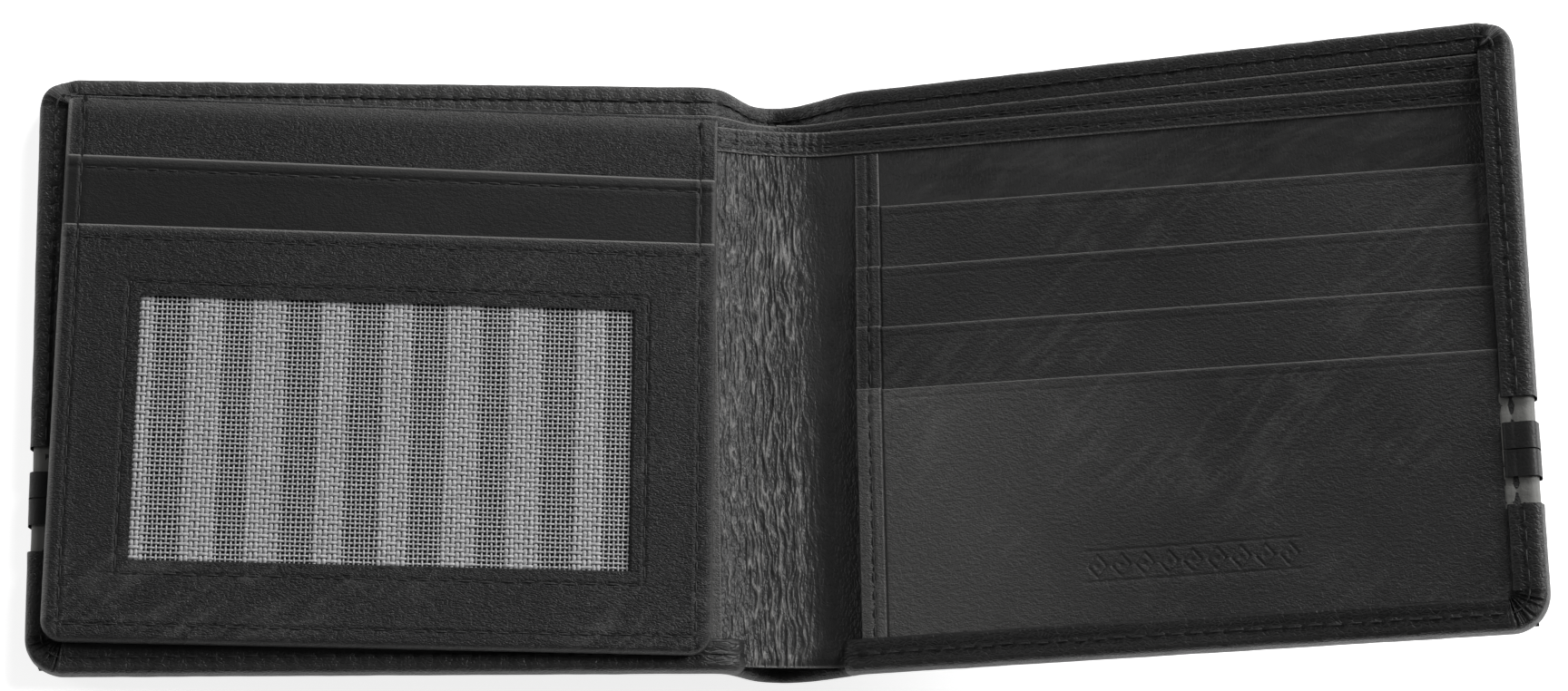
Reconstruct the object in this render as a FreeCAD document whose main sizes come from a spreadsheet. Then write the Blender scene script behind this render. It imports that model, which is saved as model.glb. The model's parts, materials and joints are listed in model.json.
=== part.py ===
import FreeCAD, Part
import math
import os

import Sketcher

# Open leather wallet lying on its back: two halves, a bulging spine and a third leaf that
# flips up from the top edge of the left half. Lengths in mm, +X to the right along the
# open wallet, +Y to its top edge, +Z up. The origin is the middle of the flat under the spine.

os.makedirs("parts", exist_ok=True)
doc = FreeCAD.newDocument("TrifoldWallet")

driving_sizes = {
    # whole wallet
    "shell_height": 90.0,
    "panel_width": 101.0,
    "crease_span": 20.5,
    "crease_gap": 0.4,
    "corner_round": 5.5,
    "right_rise": 29.0,
    # bulge of the spine
    "spine_depth": 11.1,
    "spine_drop": 1.0,
    "spine_land": 4.0,
    "spine_bend": 3.2,
    # outer skin with its stripes, heights from the lower edge
    "skin_thick": 0.9,
    "strip_thick": 0.5,
    "lining_thick": 0.4,
    "lower_skin_top": 17.8,
    "strip_low": 21.7,
    "strip_seam": 25.6,
    "strip_high": 29.5,
    "upper_skin_low": 33.2,
    "seam_gap": 0.2,
    # hems
    "edge_wall": 0.8,
    "hem_width": 4.8,
    "top_hem_width": 4.4,
    "hem_thick": 0.6,
    # note compartments
    "layer_gap": 0.1,
    "divider_thick": 0.6,
    "divider_drop": 4.6,
    "inner_thick": 0.6,
    "inner_drop": 6.8,
    "binding_width": 3.8,
    "binding_thick": 0.2,
    # card slots
    "leaf_thick": 0.45,
    "leaf_inset": 1.4,
    "leaf_low": 3.8,
    "leaf_drop": 12.2,
    "leaf_step": 9.6,
    "right_leaves": 4,
    "left_leaves": 3,
    "row_drop": 2.4,
    # flap
    "flap_margin": 4.5,
    "flap_drop": 6.4,
    "flap_foot": 2.0,
    "flap_inset": 0.3,
    "flap_skew": 1.5,
    "flap_gap": 0.3,
    "flap_round": 3.2,
    "back_thick": 0.5,
    "pocket_drop": 9.1,
    "pocket_depth": 18.0,
    "frame_drop": 19.2,
    "window_drop": 29.8,
    "window_side": 11.8,
    "window_far": 11.7,
    "window_foot": 12.2,
    "mesh_margin": 2.2,
    "strip_depth": 12.0,
    # stitching
    "thread_width": 0.5,
    "thread_height": 0.15,
    "hem_stitch": 2.4,
    "divider_stitch": 1.7,
    "flap_stitch": 2.5,
    "pocket_stitch": 1.9,
    "window_stitch": 1.7,
}

sheet = doc.addObject("Spreadsheet::Sheet", "Sizes")
for row, (alias, number) in enumerate(driving_sizes.items(), start=1):
    sheet.set("A%d" % row, alias)
    sheet.set("B%d" % row, str(number))
    sheet.setAlias("B%d" % row, alias)
doc.recompute()


class Size:
    # a number together with the sheet expression that gives it
    def __init__(self, value, text):
        self.value = value
        self.text = text

    def __add__(self, other):
        other = as_size(other)
        return Size(self.value + other.value, "(%s + %s)" % (self.text, other.text))

    def __sub__(self, other):
        other = as_size(other)
        return Size(self.value - other.value, "(%s - %s)" % (self.text, other.text))

    def __mul__(self, factor):
        return Size(self.value * factor, "(%s * %s)" % (self.text, factor))

    def __truediv__(self, factor):
        return Size(self.value / factor, "(%s / %s)" % (self.text, factor))

    def __neg__(self):
        return self * -1.0


def as_size(number):
    if isinstance(number, Size):
        return number
    return Size(float(number), "(%s)" % float(number))


def named(alias):
    return Size(float(sheet.get(alias)), "Sizes.%s" % alias)


ZERO = as_size(0)
PAST = as_size(2)

height = named("shell_height")
panel = named("panel_width")
shell = named("skin_thick") + named("lining_thick")
skin = named("skin_thick")
gap = named("layer_gap")
wall = named("edge_wall")
hem = named("hem_width")
hem_thick = named("hem_thick")
top_hem = named("top_hem_width")
lining = named("lining_thick")
strip = named("strip_thick")
strip_low = named("strip_low")
strip_high = named("strip_high")
seam = named("strip_seam")
half_seam = named("seam_gap") / 2
band_low = named("lower_skin_top")
band_high = named("upper_skin_low")
leaf_pitch = named("leaf_thick") + gap
round_outer = named("corner_round")
round_inner = named("corner_round") - wall
divider_top = height - named("divider_drop")
inner_top = height - named("inner_drop")
flap_top = height - named("flap_drop")

# levels of the layers above the outer face of a half
divider_level = shell + gap
inner_level = divider_level + named("divider_thick") + gap
leaf_level = inner_level + named("inner_thick") + gap
right_stack = leaf_level + leaf_pitch * named("right_leaves").value
left_stack = leaf_level + leaf_pitch * named("left_leaves").value

# Frames. A half turns about its crease, which runs along the inner face of its shell.
pivot_x = named("crease_span").value / 2
pivot_z = named("spine_depth").value
lean = math.degrees(
    math.asin(pivot_z / math.hypot(panel.value, shell.value))
    - math.atan(shell.value / panel.value)
)
along_y = FreeCAD.Vector(0, 1, 0)
upright = FreeCAD.Vector(0, 0, 1)


def half_frame(x, turn):
    crease = FreeCAD.Vector(x, -height.value / 2, pivot_z)
    hinge = FreeCAD.Placement(crease, FreeCAD.Rotation(along_y, turn))
    return hinge * FreeCAD.Placement(FreeCAD.Vector(0, 0, -shell.value), FreeCAD.Rotation())


left_frame = half_frame(-pivot_x, -lean)
right_frame = half_frame(pivot_x, -named("right_rise").value)
spine_frame = FreeCAD.Placement(FreeCAD.Vector(0, -height.value / 2, 0), FreeCAD.Rotation())
flap_level = left_stack + hem_thick + named("flap_gap")
flap_corner = FreeCAD.Vector(
    -named("flap_inset").value, flap_top.value, flap_level.value
)
flap_frame = left_frame * FreeCAD.Placement(
    flap_corner, FreeCAD.Rotation(upright, -named("flap_skew").value)
)

finished = []


def new_body(label, frame):
    body = doc.addObject("PartDesign::Body", label)
    body.Label = label
    body.Placement = frame
    finished.append(body)
    return body


def new_sketch(body, name, role, x, y, z):
    sketch = body.newObject("Sketcher::SketchObject", name)
    plane = [part for part in body.Origin.OriginFeatures if part.Role == role][0]
    sketch.AttachmentSupport = (plane, [""])
    sketch.MapMode = "FlatFace"
    for axis, place in (("x", x), ("y", y), ("z", z)):
        sketch.setExpression("AttachmentOffset.Base.%s" % axis, as_size(place).text)
    return sketch


def fix_length(sketch, name, constraint, size):
    index = sketch.addConstraint(constraint)
    sketch.renameConstraint(index, name)
    sketch.setExpression("Constraints.%s" % name, as_size(size).text)


def point(x, y):
    return FreeCAD.Vector(x, y, 0)


def outline(sketch, length, width, rounded=(), radius=ZERO):
    # rectangle from the sketch origin; corners 0 to 3 run from the origin to the right and round
    far_x = length.value
    far_y = width.value
    corners = [(0, 0), (far_x, 0), (far_x, far_y), (0, far_y)]
    steps = [(1, 0), (0, 1), (-1, 0), (0, -1)]
    cut = [radius.value if number in rounded else 0 for number in range(4)]
    for side in range(4):
        nxt = (side + 1) % 4
        step = steps[side]
        first = point(corners[side][0] + step[0] * cut[side], corners[side][1] + step[1] * cut[side])
        last = point(corners[nxt][0] - step[0] * cut[nxt], corners[nxt][1] - step[1] * cut[nxt])
        sketch.addGeometry(Part.LineSegment(first, last), False)
        level = "Horizontal" if side % 2 == 0 else "Vertical"
        sketch.addConstraint(Sketcher.Constraint(level, side))
    arcs = {}
    for number in rounded:
        before = steps[(number + 3) % 4]
        after = steps[number]
        centre_x = corners[number][0] + (after[0] - before[0]) * radius.value
        centre_y = corners[number][1] + (after[1] - before[1]) * radius.value
        start = math.radians(90 * ((number + 2) % 4))
        circle = Part.Circle(point(centre_x, centre_y), upright, radius.value)
        arc = Part.ArcOfCircle(circle, start, start + math.pi / 2)
        arcs[number] = sketch.addGeometry(arc, False)
    for number in range(4):
        before = (number + 3) % 4
        if number in arcs:
            arc = arcs[number]
            sketch.addConstraint(Sketcher.Constraint("Tangent", before, 2, arc, 1))
            sketch.addConstraint(Sketcher.Constraint("Tangent", arc, 2, number, 1))
            fix_length(
                sketch,
                "round%d" % number,
                Sketcher.Constraint("Radius", arc, radius.value),
                radius,
            )
        else:
            sketch.addConstraint(Sketcher.Constraint("Coincident", before, 2, number, 1))
    sketch.addConstraint(Sketcher.Constraint("PointOnObject", 0, 1, -1))
    sketch.addConstraint(Sketcher.Constraint("PointOnObject", 3, 1, -2))
    fix_length(sketch, "length", Sketcher.Constraint("DistanceX", -1, 1, 1, 1, far_x), length)
    fix_length(sketch, "width", Sketcher.Constraint("DistanceY", -1, 1, 2, 1, far_y), width)


def sloped_outline(sketch, length, width, drop):
    # rectangle whose top edge falls by drop towards its right end
    far_x = length.value
    far_y = width.value
    corners = [point(0, 0), point(far_x, 0), point(far_x, far_y - drop.value), point(0, far_y)]
    for side in range(4):
        nxt = (side + 1) % 4
        sketch.addGeometry(Part.LineSegment(corners[side], corners[nxt]), False)
    for side in range(4):
        nxt = (side + 1) % 4
        sketch.addConstraint(Sketcher.Constraint("Coincident", side, 2, nxt, 1))
    sketch.addConstraint(Sketcher.Constraint("Horizontal", 0))
    sketch.addConstraint(Sketcher.Constraint("Vertical", 1))
    sketch.addConstraint(Sketcher.Constraint("Vertical", 3))
    sketch.addConstraint(Sketcher.Constraint("Coincident", 0, 1, -1, 1))
    fix_length(sketch, "length", Sketcher.Constraint("DistanceX", 0, 1, 0, 2, far_x), length)
    fix_length(sketch, "near", Sketcher.Constraint("DistanceY", 3, 2, 3, 1, far_y), width)
    fix_length(
        sketch,
        "far",
        Sketcher.Constraint("DistanceY", 1, 1, 1, 2, far_y - drop.value),
        width - drop,
    )


def pad(body, name, x, y, z, length, width, thick, rounded=(), radius=ZERO, drop=None):
    sketch = new_sketch(body, body.Label + "_" + name, "XY_Plane", x, y, z)
    if drop is None:
        outline(sketch, as_size(length), as_size(width), rounded, radius)
    else:
        sloped_outline(sketch, as_size(length), as_size(width), drop)
    feature = body.newObject("PartDesign::Pad", body.Label + "_" + name + "_pad")
    feature.Profile = sketch
    feature.setExpression("Length", as_size(thick).text)
    sketch.Visibility = False
    return feature


def pocket(body, name, x, y, z, length, width, depth, rounded=(), radius=ZERO):
    # cuts down from the level z
    sketch = new_sketch(body, body.Label + "_" + name, "XY_Plane", x, y, z)
    outline(sketch, as_size(length), as_size(width), rounded, radius)
    doc.recompute()
    before = body.Shape.Volume
    feature = body.newObject("PartDesign::Pocket", body.Label + "_" + name + "_cut")
    feature.Profile = sketch
    feature.setExpression("Length", as_size(depth).text)
    sketch.Visibility = False
    doc.recompute()
    if body.Shape.Volume >= before:
        raise RuntimeError(feature.Label + " cuts nothing")
    return feature


# A half: side is 1 for the right and -1 for the left. Places along it are counted outward
# from the crease, and "low" and "high" name the lower and upper outer corners.


def along(side, near, far):
    return near if side > 0 else -far


def outer_corners(side, *which):
    numbers = {"low": 1 if side > 0 else 0, "high": 2 if side > 0 else 3}
    return tuple(numbers[name] for name in which)


def sheet_of(label, side, frame, near, far, low, high, level, thick, corners=(), drop=None):
    body = new_body(label, frame)
    pad(
        body,
        "outline",
        along(side, as_size(near), as_size(far)),
        low,
        level,
        as_size(far) - near,
        as_size(high) - low,
        thick,
        outer_corners(side, *corners),
        round_inner,
        drop,
    )
    return body


def wrapped_skin(label, side, frame, low, high, stack, corner):
    # outer skin: flat floor, wall round the outer edge and hem folded back over the stack
    body = new_body(label, frame)
    corners = outer_corners(side, corner)
    top = stack + hem_thick
    pad(body, "block", along(side, ZERO, panel), low, ZERO, panel, high - low, top, corners, round_outer)
    inside_low = low + wall if corner == "low" else low - PAST
    inside_high = high + PAST
    pocket(
        body,
        "cavity",
        along(side, -PAST, panel - wall),
        inside_low,
        stack,
        panel - wall + PAST,
        inside_high - inside_low,
        stack - skin,
        corners if corner == "low" else (),
        round_inner,
    )
    window_low = low + hem if corner == "low" else low - PAST
    pocket(
        body,
        "opening",
        along(side, -PAST, panel - hem),
        window_low,
        top,
        panel - hem + PAST,
        inside_high - window_low,
        hem_thick,
    )
    if corner == "high":
        # the top hem is folded over the lining only and stops where the corner rounds
        reach = panel - round_outer
        start = along(side, ZERO, reach)
        pad(body, "top_wall", start, high - wall, skin, reach, wall, lining + hem_thick)
        pad(body, "top_hem", start, high - top_hem, shell, reach, top_hem, hem_thick)
    return body


def grey_underlay(label, side, frame, stack):
    # recessed band between the two skins, turned round the outer edge like them
    body = new_body(label, frame)
    low = band_low
    width = band_high - band_low
    reach = panel - strip
    top = stack + hem_thick
    pad(body, "block", along(side, ZERO, reach), low, strip, reach, width, top - strip)
    inside = panel - wall
    pocket(
        body, "cavity", along(side, -PAST, inside), low - PAST, stack,
        inside + PAST, width + PAST * 2, stack - skin,
    )
    inside = panel - hem
    pocket(
        body, "opening", along(side, -PAST, inside), low - PAST, top,
        inside + PAST, width + PAST * 2, hem_thick,
    )


def inlay_strip(label, side, frame, low, high, stack):
    # flat along the outside, turned up at the outer edge
    body = new_body(label, frame)
    top = stack + hem_thick
    pad(body, "block", along(side, ZERO, panel), low, ZERO, panel, high - low, top)
    inside = panel - strip
    pocket(
        body, "cavity", along(side, -PAST, inside), low - PAST, top,
        inside + PAST, high - low + PAST * 2, top - strip,
    )


def thread_row(name, x, y, z, length, turn=0.0):
    # thread lying on the leather, along X, or along Y when turned by 90 degrees
    bar = doc.addObject("Part::Box", name)
    across = named("thread_width") / 2
    bar.setExpression("Length", as_size(length).text)
    bar.setExpression("Width", named("thread_width").text)
    bar.setExpression("Height", named("thread_height").text)
    bar.Placement.Rotation = FreeCAD.Rotation(upright, turn)
    x = as_size(x)
    y = as_size(y)
    if turn == 90:
        x = x + across
    else:
        y = y - across
    bar.setExpression("Placement.Base.x", x.text)
    bar.setExpression("Placement.Base.y", y.text)
    bar.setExpression("Placement.Base.z", as_size(z).text)
    return bar


def thread_group(label, frame, rows):
    group = doc.addObject("Part::Compound", label)
    group.Label = label
    group.Links = rows
    group.Placement = frame
    finished.append(group)
    return group


def build_half(name, side, frame, stack, leaves):
    wrapped_skin(name + "_upper_skin", side, frame, band_high, height, stack, "high")
    wrapped_skin(name + "_lower_skin", side, frame, ZERO, band_low, stack, "low")
    grey_underlay(name + "_grey_underlay", side, frame, stack)
    inlay_strip(name + "_inlay_strip_lower", side, frame, strip_low, seam - half_seam, stack)
    inlay_strip(name + "_inlay_strip_upper", side, frame, seam + half_seam, strip_high, stack)
    inside = panel - wall - gap
    sheet_of(
        name + "_note_lining", side, frame, 0, inside, wall, height - wall,
        skin, lining, ("low", "high"),
    )
    sheet_of(
        name + "_note_divider", side, frame, 0, inside, wall, divider_top,
        divider_level, named("divider_thick"), ("low",),
    )
    drop = named("row_drop") if side > 0 else None
    sheet_of(
        name + "_inner_panel", side, frame, 0, inside, hem, inner_top,
        inner_level, named("inner_thick"), (), drop,
    )
    for number in range(leaves):
        top = inner_top - named("leaf_drop") - named("leaf_step") * number
        sheet_of(
            "%s_slot_leaf_%d" % (name, number + 1), side, frame, named("leaf_inset"),
            inside - gap * 3, named("leaf_low"), top, leaf_level + leaf_pitch * number,
            named("leaf_thick"), (), drop,
        )
    binding_level = inner_level + named("inner_thick")
    slope = math.degrees(math.atan(drop.value / inside.value)) if drop else 0.0
    near_top = FreeCAD.Vector(0, inner_top.value, 0)
    binding_frame = frame * FreeCAD.Placement(near_top, FreeCAD.Rotation(upright, -slope))
    body = new_body(name + "_top_binding", binding_frame)
    reach = inside - gap * 4
    width = named("binding_width")
    start = along(side, gap * 2, reach)
    pad(body, "outline", start, -width, binding_level, reach - gap * 2, width, named("binding_thick"))


def build_threads(name, side, frame, stack):
    rows = []
    lip = stack + hem_thick
    stitch = named("hem_stitch")
    inner_end = panel - hem
    start = along(side, ZERO, inner_end)
    label = name + "_thread_"
    top_level = shell + hem_thick
    rows.append(thread_row(label + "top", start, height - stitch, top_level, inner_end))
    rows.append(thread_row(label + "bottom", start, stitch, lip, inner_end))
    edge = panel - stitch if side > 0 else -(panel - stitch)
    for part, low, high in (("low", hem, band_low), ("high", band_high, height - hem)):
        rows.append(thread_row(label + part, edge, low, lip, high - low, 90))
    divider_row = divider_top - named("divider_stitch")
    divider_up = divider_level + named("divider_thick")
    rows.append(thread_row(label + "divider", start, divider_row, divider_up, inner_end))
    thread_group(name + "_stitching", frame, rows)


build_half("right", 1, right_frame, right_stack, int(named("right_leaves").value))
build_half("left", -1, left_frame, left_stack, int(named("left_leaves").value))
build_threads("right", 1, right_frame, right_stack)
build_threads("left", -1, left_frame, left_stack)


# The flap. Its frame has its origin at the top corner beside the spine, X across and -Y down.
flap_width = panel - named("flap_margin")
flap_height = flap_top - named("flap_foot")
window_width = flap_width - named("window_side") - named("window_far")
window_height = flap_height - named("window_drop") - named("window_foot")
flap_pitch = named("leaf_thick") + gap
base_level = named("back_thick") + gap
pocket_level = base_level + flap_pitch
frame_level = pocket_level + flap_pitch


def flap_piece(label, near, far, low, high, level, thick, corners=()):
    # near and far count leftward from the edge beside the spine, low and high downward
    body = new_body(label, flap_frame)
    pad(body, "outline", -as_size(far), -as_size(low), level, as_size(far) - near,
        as_size(low) - high, thick, corners, named("flap_round"))
    return body


def build_flap():
    leaf = named("leaf_thick")
    both_low = (0, 1)
    flap_piece("flap_back", 0, flap_width, flap_height, ZERO, ZERO, named("back_thick"), both_low)
    flap_piece("flap_base", 0, flap_width, flap_height, ZERO, base_level, leaf, both_low)
    pocket_low = named("pocket_drop") + named("pocket_depth")
    flap_piece("flap_pocket_leaf", 0, flap_width, pocket_low, named("pocket_drop"), pocket_level, leaf)
    window_low = named("window_drop") + window_height
    margin = named("mesh_margin")
    side = named("window_side")
    flap_piece(
        "flap_window_mesh", side - margin, side + window_width + margin,
        window_low + margin, named("window_drop") - margin, pocket_level, leaf,
    )
    body = flap_piece(
        "flap_window_frame", 0, flap_width, flap_height, named("frame_drop"),
        frame_level, leaf, both_low,
    )
    pocket(
        body, "window", -(side + window_width), -window_low, frame_level + leaf,
        window_width, window_height, leaf,
    )
    hinge = new_body("flap_hinge_strip", flap_frame)
    pad(
        hinge, "outline", -(flap_width - hem), -named("strip_depth"), -named("flap_gap") - hem_thick,
        flap_width - hem * 2, named("strip_depth") - gap, hem_thick - gap,
    )


def build_flap_threads():
    leaf = named("leaf_thick")
    top = frame_level + leaf
    stitch = named("flap_stitch")
    across = flap_width - stitch * 2
    rows = [thread_row("flap_thread_bottom", -(flap_width - stitch), stitch - flap_height, top, across)]
    down = named("frame_drop") + stitch
    for name, x in (("near", -stitch), ("far", stitch - flap_width)):
        low = stitch - flap_height
        rows.append(thread_row("flap_thread_" + name, x, low, top, flap_height - stitch - down, 90))
    rows.append(
        thread_row(
            "flap_thread_frame", stitch - flap_width, -(named("frame_drop") + named("pocket_stitch")),
            top, across,
        )
    )
    rows.append(
        thread_row(
            "flap_thread_pocket", stitch - flap_width,
            -(named("pocket_drop") + named("pocket_stitch")), pocket_level + leaf, across,
        )
    )
    out = named("window_stitch")
    side = named("window_side")
    window_across = window_width + out * 2
    window_down = window_height + out * 2
    left_edge = -(side + window_width + out)
    window_low = -(named("window_drop") + window_height + out)
    for name, y in (("low", window_low), ("high", out - named("window_drop"))):
        rows.append(thread_row("flap_thread_window_" + name, left_edge, y, top, window_across))
    for name, x in (("left", left_edge), ("right", out - side)):
        rows.append(thread_row("flap_thread_window_" + name, x, window_low, top, window_down, 90))
    thread_group("flap_stitching", flap_frame, rows)


build_flap()
build_flap_threads()

# The spine. Its layers share one rounded profile; each is given by how far its faces lie in
# from the outside of the skin.
spine_half = named("crease_span") / 2 - named("crease_gap")
spine_top = named("spine_depth") - named("spine_drop")
foot_half = named("spine_land") / 2
bend = named("spine_bend")
rise_side = spine_top.value - bend.value
rise_over = spine_half.value - foot_half.value
flank = math.atan2(rise_side, rise_over) + math.asin(bend.value / math.hypot(rise_side, rise_over))


def flank_point(inset, z):
    # point of the flank at height z, on the face that lies inset from the outside
    shift = inset / math.sin(flank)
    return spine_half.value - shift - (spine_top.value - z) / math.tan(flank)


def spine_pad(body, name, low, high, outer, inner):
    # half of the profile between two faces, run from the high end down to the low end
    sketch = new_sketch(body, body.Label + "_" + name, "XZ_Plane", 0, 0, -as_size(high))
    foot = foot_half.value
    centre = point(foot, bend.value)
    top = spine_top.value
    start = -math.pi / 2
    end = flank - math.pi / 2
    arc_end = {}
    for face in (outer, inner):
        radius = bend.value - face.value
        arc_end[face] = centre + point(radius * math.cos(end), radius * math.sin(end))
    outer_circle = Part.Circle(centre, upright, bend.value - outer.value)
    inner_circle = Part.Circle(centre, upright, bend.value - inner.value)
    outer_top = point(flank_point(outer.value, top), top)
    inner_end = point(flank_point(inner.value, top), top)
    pieces = [
        Part.LineSegment(point(0, outer.value), point(foot, outer.value)),
        Part.ArcOfCircle(outer_circle, start, end),
        Part.LineSegment(arc_end[outer], outer_top),
        Part.LineSegment(outer_top, inner_end),
        Part.LineSegment(inner_end, arc_end[inner]),
        Part.ArcOfCircle(inner_circle, start, end),
        Part.LineSegment(point(foot, inner.value), point(0, inner.value)),
        Part.LineSegment(point(0, inner.value), point(0, outer.value)),
    ]
    for piece in pieces:
        sketch.addGeometry(piece, False)
    joins = [
        ("Tangent", 0, 2, 1, 1), ("Tangent", 1, 2, 2, 1), ("Coincident", 2, 2, 3, 1),
        ("Coincident", 3, 2, 4, 1), ("Tangent", 4, 2, 5, 2), ("Tangent", 5, 1, 6, 1),
        ("Coincident", 6, 2, 7, 1), ("Coincident", 7, 2, 0, 1),
    ]
    for kind, first, first_end, second, second_end in joins:
        sketch.addConstraint(Sketcher.Constraint(kind, first, first_end, second, second_end))
    for level in (0, 3, 6):
        sketch.addConstraint(Sketcher.Constraint("Horizontal", level))
    sketch.addConstraint(Sketcher.Constraint("PointOnObject", 0, 1, -2))
    sketch.addConstraint(Sketcher.Constraint("Vertical", 7))
    sketch.addConstraint(Sketcher.Constraint("Coincident", 1, 3, 5, 3))
    sketch.addConstraint(Sketcher.Constraint("Parallel", 2, 4))
    fix_length(sketch, "foot", Sketcher.Constraint("DistanceX", -1, 1, 1, 3, foot), foot_half)
    fix_length(sketch, "bend", Sketcher.Constraint("DistanceY", -1, 1, 1, 3, bend.value), bend)
    fix_length(
        sketch, "outside", Sketcher.Constraint("Radius", 1, bend.value - outer.value), bend - outer
    )
    fix_length(
        sketch, "inside", Sketcher.Constraint("Radius", 5, bend.value - inner.value), bend - inner
    )
    fix_length(sketch, "top", Sketcher.Constraint("DistanceY", -1, 1, 2, 2, top), spine_top)
    sketch.addConstraint(Sketcher.Constraint("Angle", 2, flank))
    feature = body.newObject("PartDesign::Pad", body.Label + "_" + name + "_pad")
    feature.Profile = sketch
    feature.setExpression("Length", (as_size(high) - low).text)
    sketch.Visibility = False
    return feature


def spine_layer(label, runs):
    # runs: name, low end, high end, outer face, inner face
    body = new_body(label, spine_frame)
    pads = [spine_pad(body, *run) for run in runs]
    doc.recompute()
    mirrored = body.newObject("PartDesign::Mirrored", label + "_mirrored")
    plane = [part for part in body.Origin.OriginFeatures if part.Role == "YZ_Plane"][0]
    mirrored.MirrorPlane = (plane, [""])
    mirrored.Originals = pads
    body.Tip = mirrored


def spine_strip(label, half_width, low, high, level, thick):
    body = new_body(label, spine_frame)
    width = as_size(high) - low
    pad(body, "outline", -half_width, low, level, half_width * 2, width, thick)


def build_spine():
    hem_face = shell + hem_thick
    spine_layer(
        "spine_upper_skin",
        [
            ("face", band_high, height, ZERO, skin),
            ("edge", height - wall, height, skin - gap, hem_face),
            ("hem", height - top_hem, height, shell, hem_face),
        ],
    )
    spine_layer(
        "spine_lower_skin",
        [
            ("face", ZERO, band_low, ZERO, skin),
            ("edge", ZERO, wall, skin - gap, hem_face),
            ("hem", ZERO, hem, shell, hem_face),
        ],
    )
    spine_layer("spine_grey_underlay", [("face", band_low, band_high, strip, skin)])
    spine_layer("spine_inlay_strip_lower", [("face", strip_low, seam - half_seam, ZERO, strip)])
    spine_layer("spine_inlay_strip_upper", [("face", seam + half_seam, strip_high, ZERO, strip)])
    spine_layer("spine_note_lining", [("face", wall, height - wall, skin, shell)])
    inner_low = spine_top + gap
    inner_high = inner_low + named("inner_thick")
    divider_low = inner_low - gap * 2 - named("divider_thick")
    clear = as_size(flank_point(hem_face.value, divider_low.value)) - gap
    spine_strip(
        "spine_note_divider", clear, ZERO, divider_top, divider_low, named("divider_thick")
    )
    spine_strip(
        "spine_inner_panel", spine_half, ZERO, inner_top, inner_low, named("inner_thick")
    )
    spine_strip(
        "spine_top_binding", spine_half, inner_top - named("binding_width"),
        inner_top, inner_high, named("binding_thick"),
    )


build_spine()
doc.recompute()

for thing in doc.Objects:
    if "Invalid" in thing.State or "Error" in thing.State:
        raise RuntimeError("%s failed: %s" % (thing.Label, thing.State))
for thing in finished:
    if thing.Shape.isNull() or not thing.Shape.isValid() or not thing.Shape.Solids:
        raise RuntimeError("%s has no valid shape" % thing.Label)
for thing in finished:
    thing.Shape.exportStep("parts/%s.step" % thing.Label)
print("%d nodes, left half leans %.3f degrees, flap level %.3f" % (len(finished), lean, flap_level.value))
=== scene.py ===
import json
import math

import bpy
import numpy as np
from mathutils import Matrix, Vector


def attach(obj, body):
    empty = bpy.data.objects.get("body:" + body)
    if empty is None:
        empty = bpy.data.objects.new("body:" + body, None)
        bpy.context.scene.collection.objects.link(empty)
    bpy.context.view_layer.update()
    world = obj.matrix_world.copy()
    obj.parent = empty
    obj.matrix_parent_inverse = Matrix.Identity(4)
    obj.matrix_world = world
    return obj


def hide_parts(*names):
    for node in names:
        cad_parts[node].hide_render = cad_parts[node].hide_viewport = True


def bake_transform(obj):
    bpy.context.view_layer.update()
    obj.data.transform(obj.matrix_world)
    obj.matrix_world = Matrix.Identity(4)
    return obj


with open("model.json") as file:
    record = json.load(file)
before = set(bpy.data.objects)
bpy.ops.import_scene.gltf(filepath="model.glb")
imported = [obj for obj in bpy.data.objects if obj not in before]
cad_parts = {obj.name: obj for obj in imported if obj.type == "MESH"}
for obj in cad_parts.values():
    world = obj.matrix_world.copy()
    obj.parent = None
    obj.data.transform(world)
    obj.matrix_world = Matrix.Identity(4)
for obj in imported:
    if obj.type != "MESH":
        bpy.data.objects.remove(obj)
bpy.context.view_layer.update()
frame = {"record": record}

# sizes in millimetres; meshes are scaled to metres when they are made
mm = 0.001
wallet = {
    "tall": 90.0,
    "panelWidth": 101.0,
    "shellThick": 1.3,
    "rise": 29.0,
    "cornerRound": 5.5,
    "bendStart": 2.5,
}
joints = {joint["name"]: joint for joint in frame["record"]["behaviour"]["joints"]}
creaseX = joints["right_crease"]["pos_m"][0] / mm
creaseZ = joints["right_crease"]["pos_m"][2] / mm
tall = wallet["tall"]
wide = wallet["panelWidth"]
lean = math.asin(creaseZ / math.hypot(wide, wallet["shellThick"]))
lean = lean - math.atan(wallet["shellThick"] / wide)
tilt = {"left": -lean, "right": math.radians(wallet["rise"])}
sideSign = {"left": -1.0, "right": 1.0}


def smooth(x, low, high):
    t = np.clip((x - low) / (high - low), 0.0, 1.0)
    return t * t * (3.0 - 2.0 * t)


def onHalf(side, u, v, w):
    # u outward from the crease, v up from the lower edge, w above the outer face
    lift = w - wallet["shellThick"]
    s, c = math.sin(tilt[side]), math.cos(tilt[side])
    x = sideSign[side] * (creaseX + u * c - lift * s)
    return x, v - tall / 2 + 0 * x, creaseZ + u * s + lift * c + 0 * v


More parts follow.
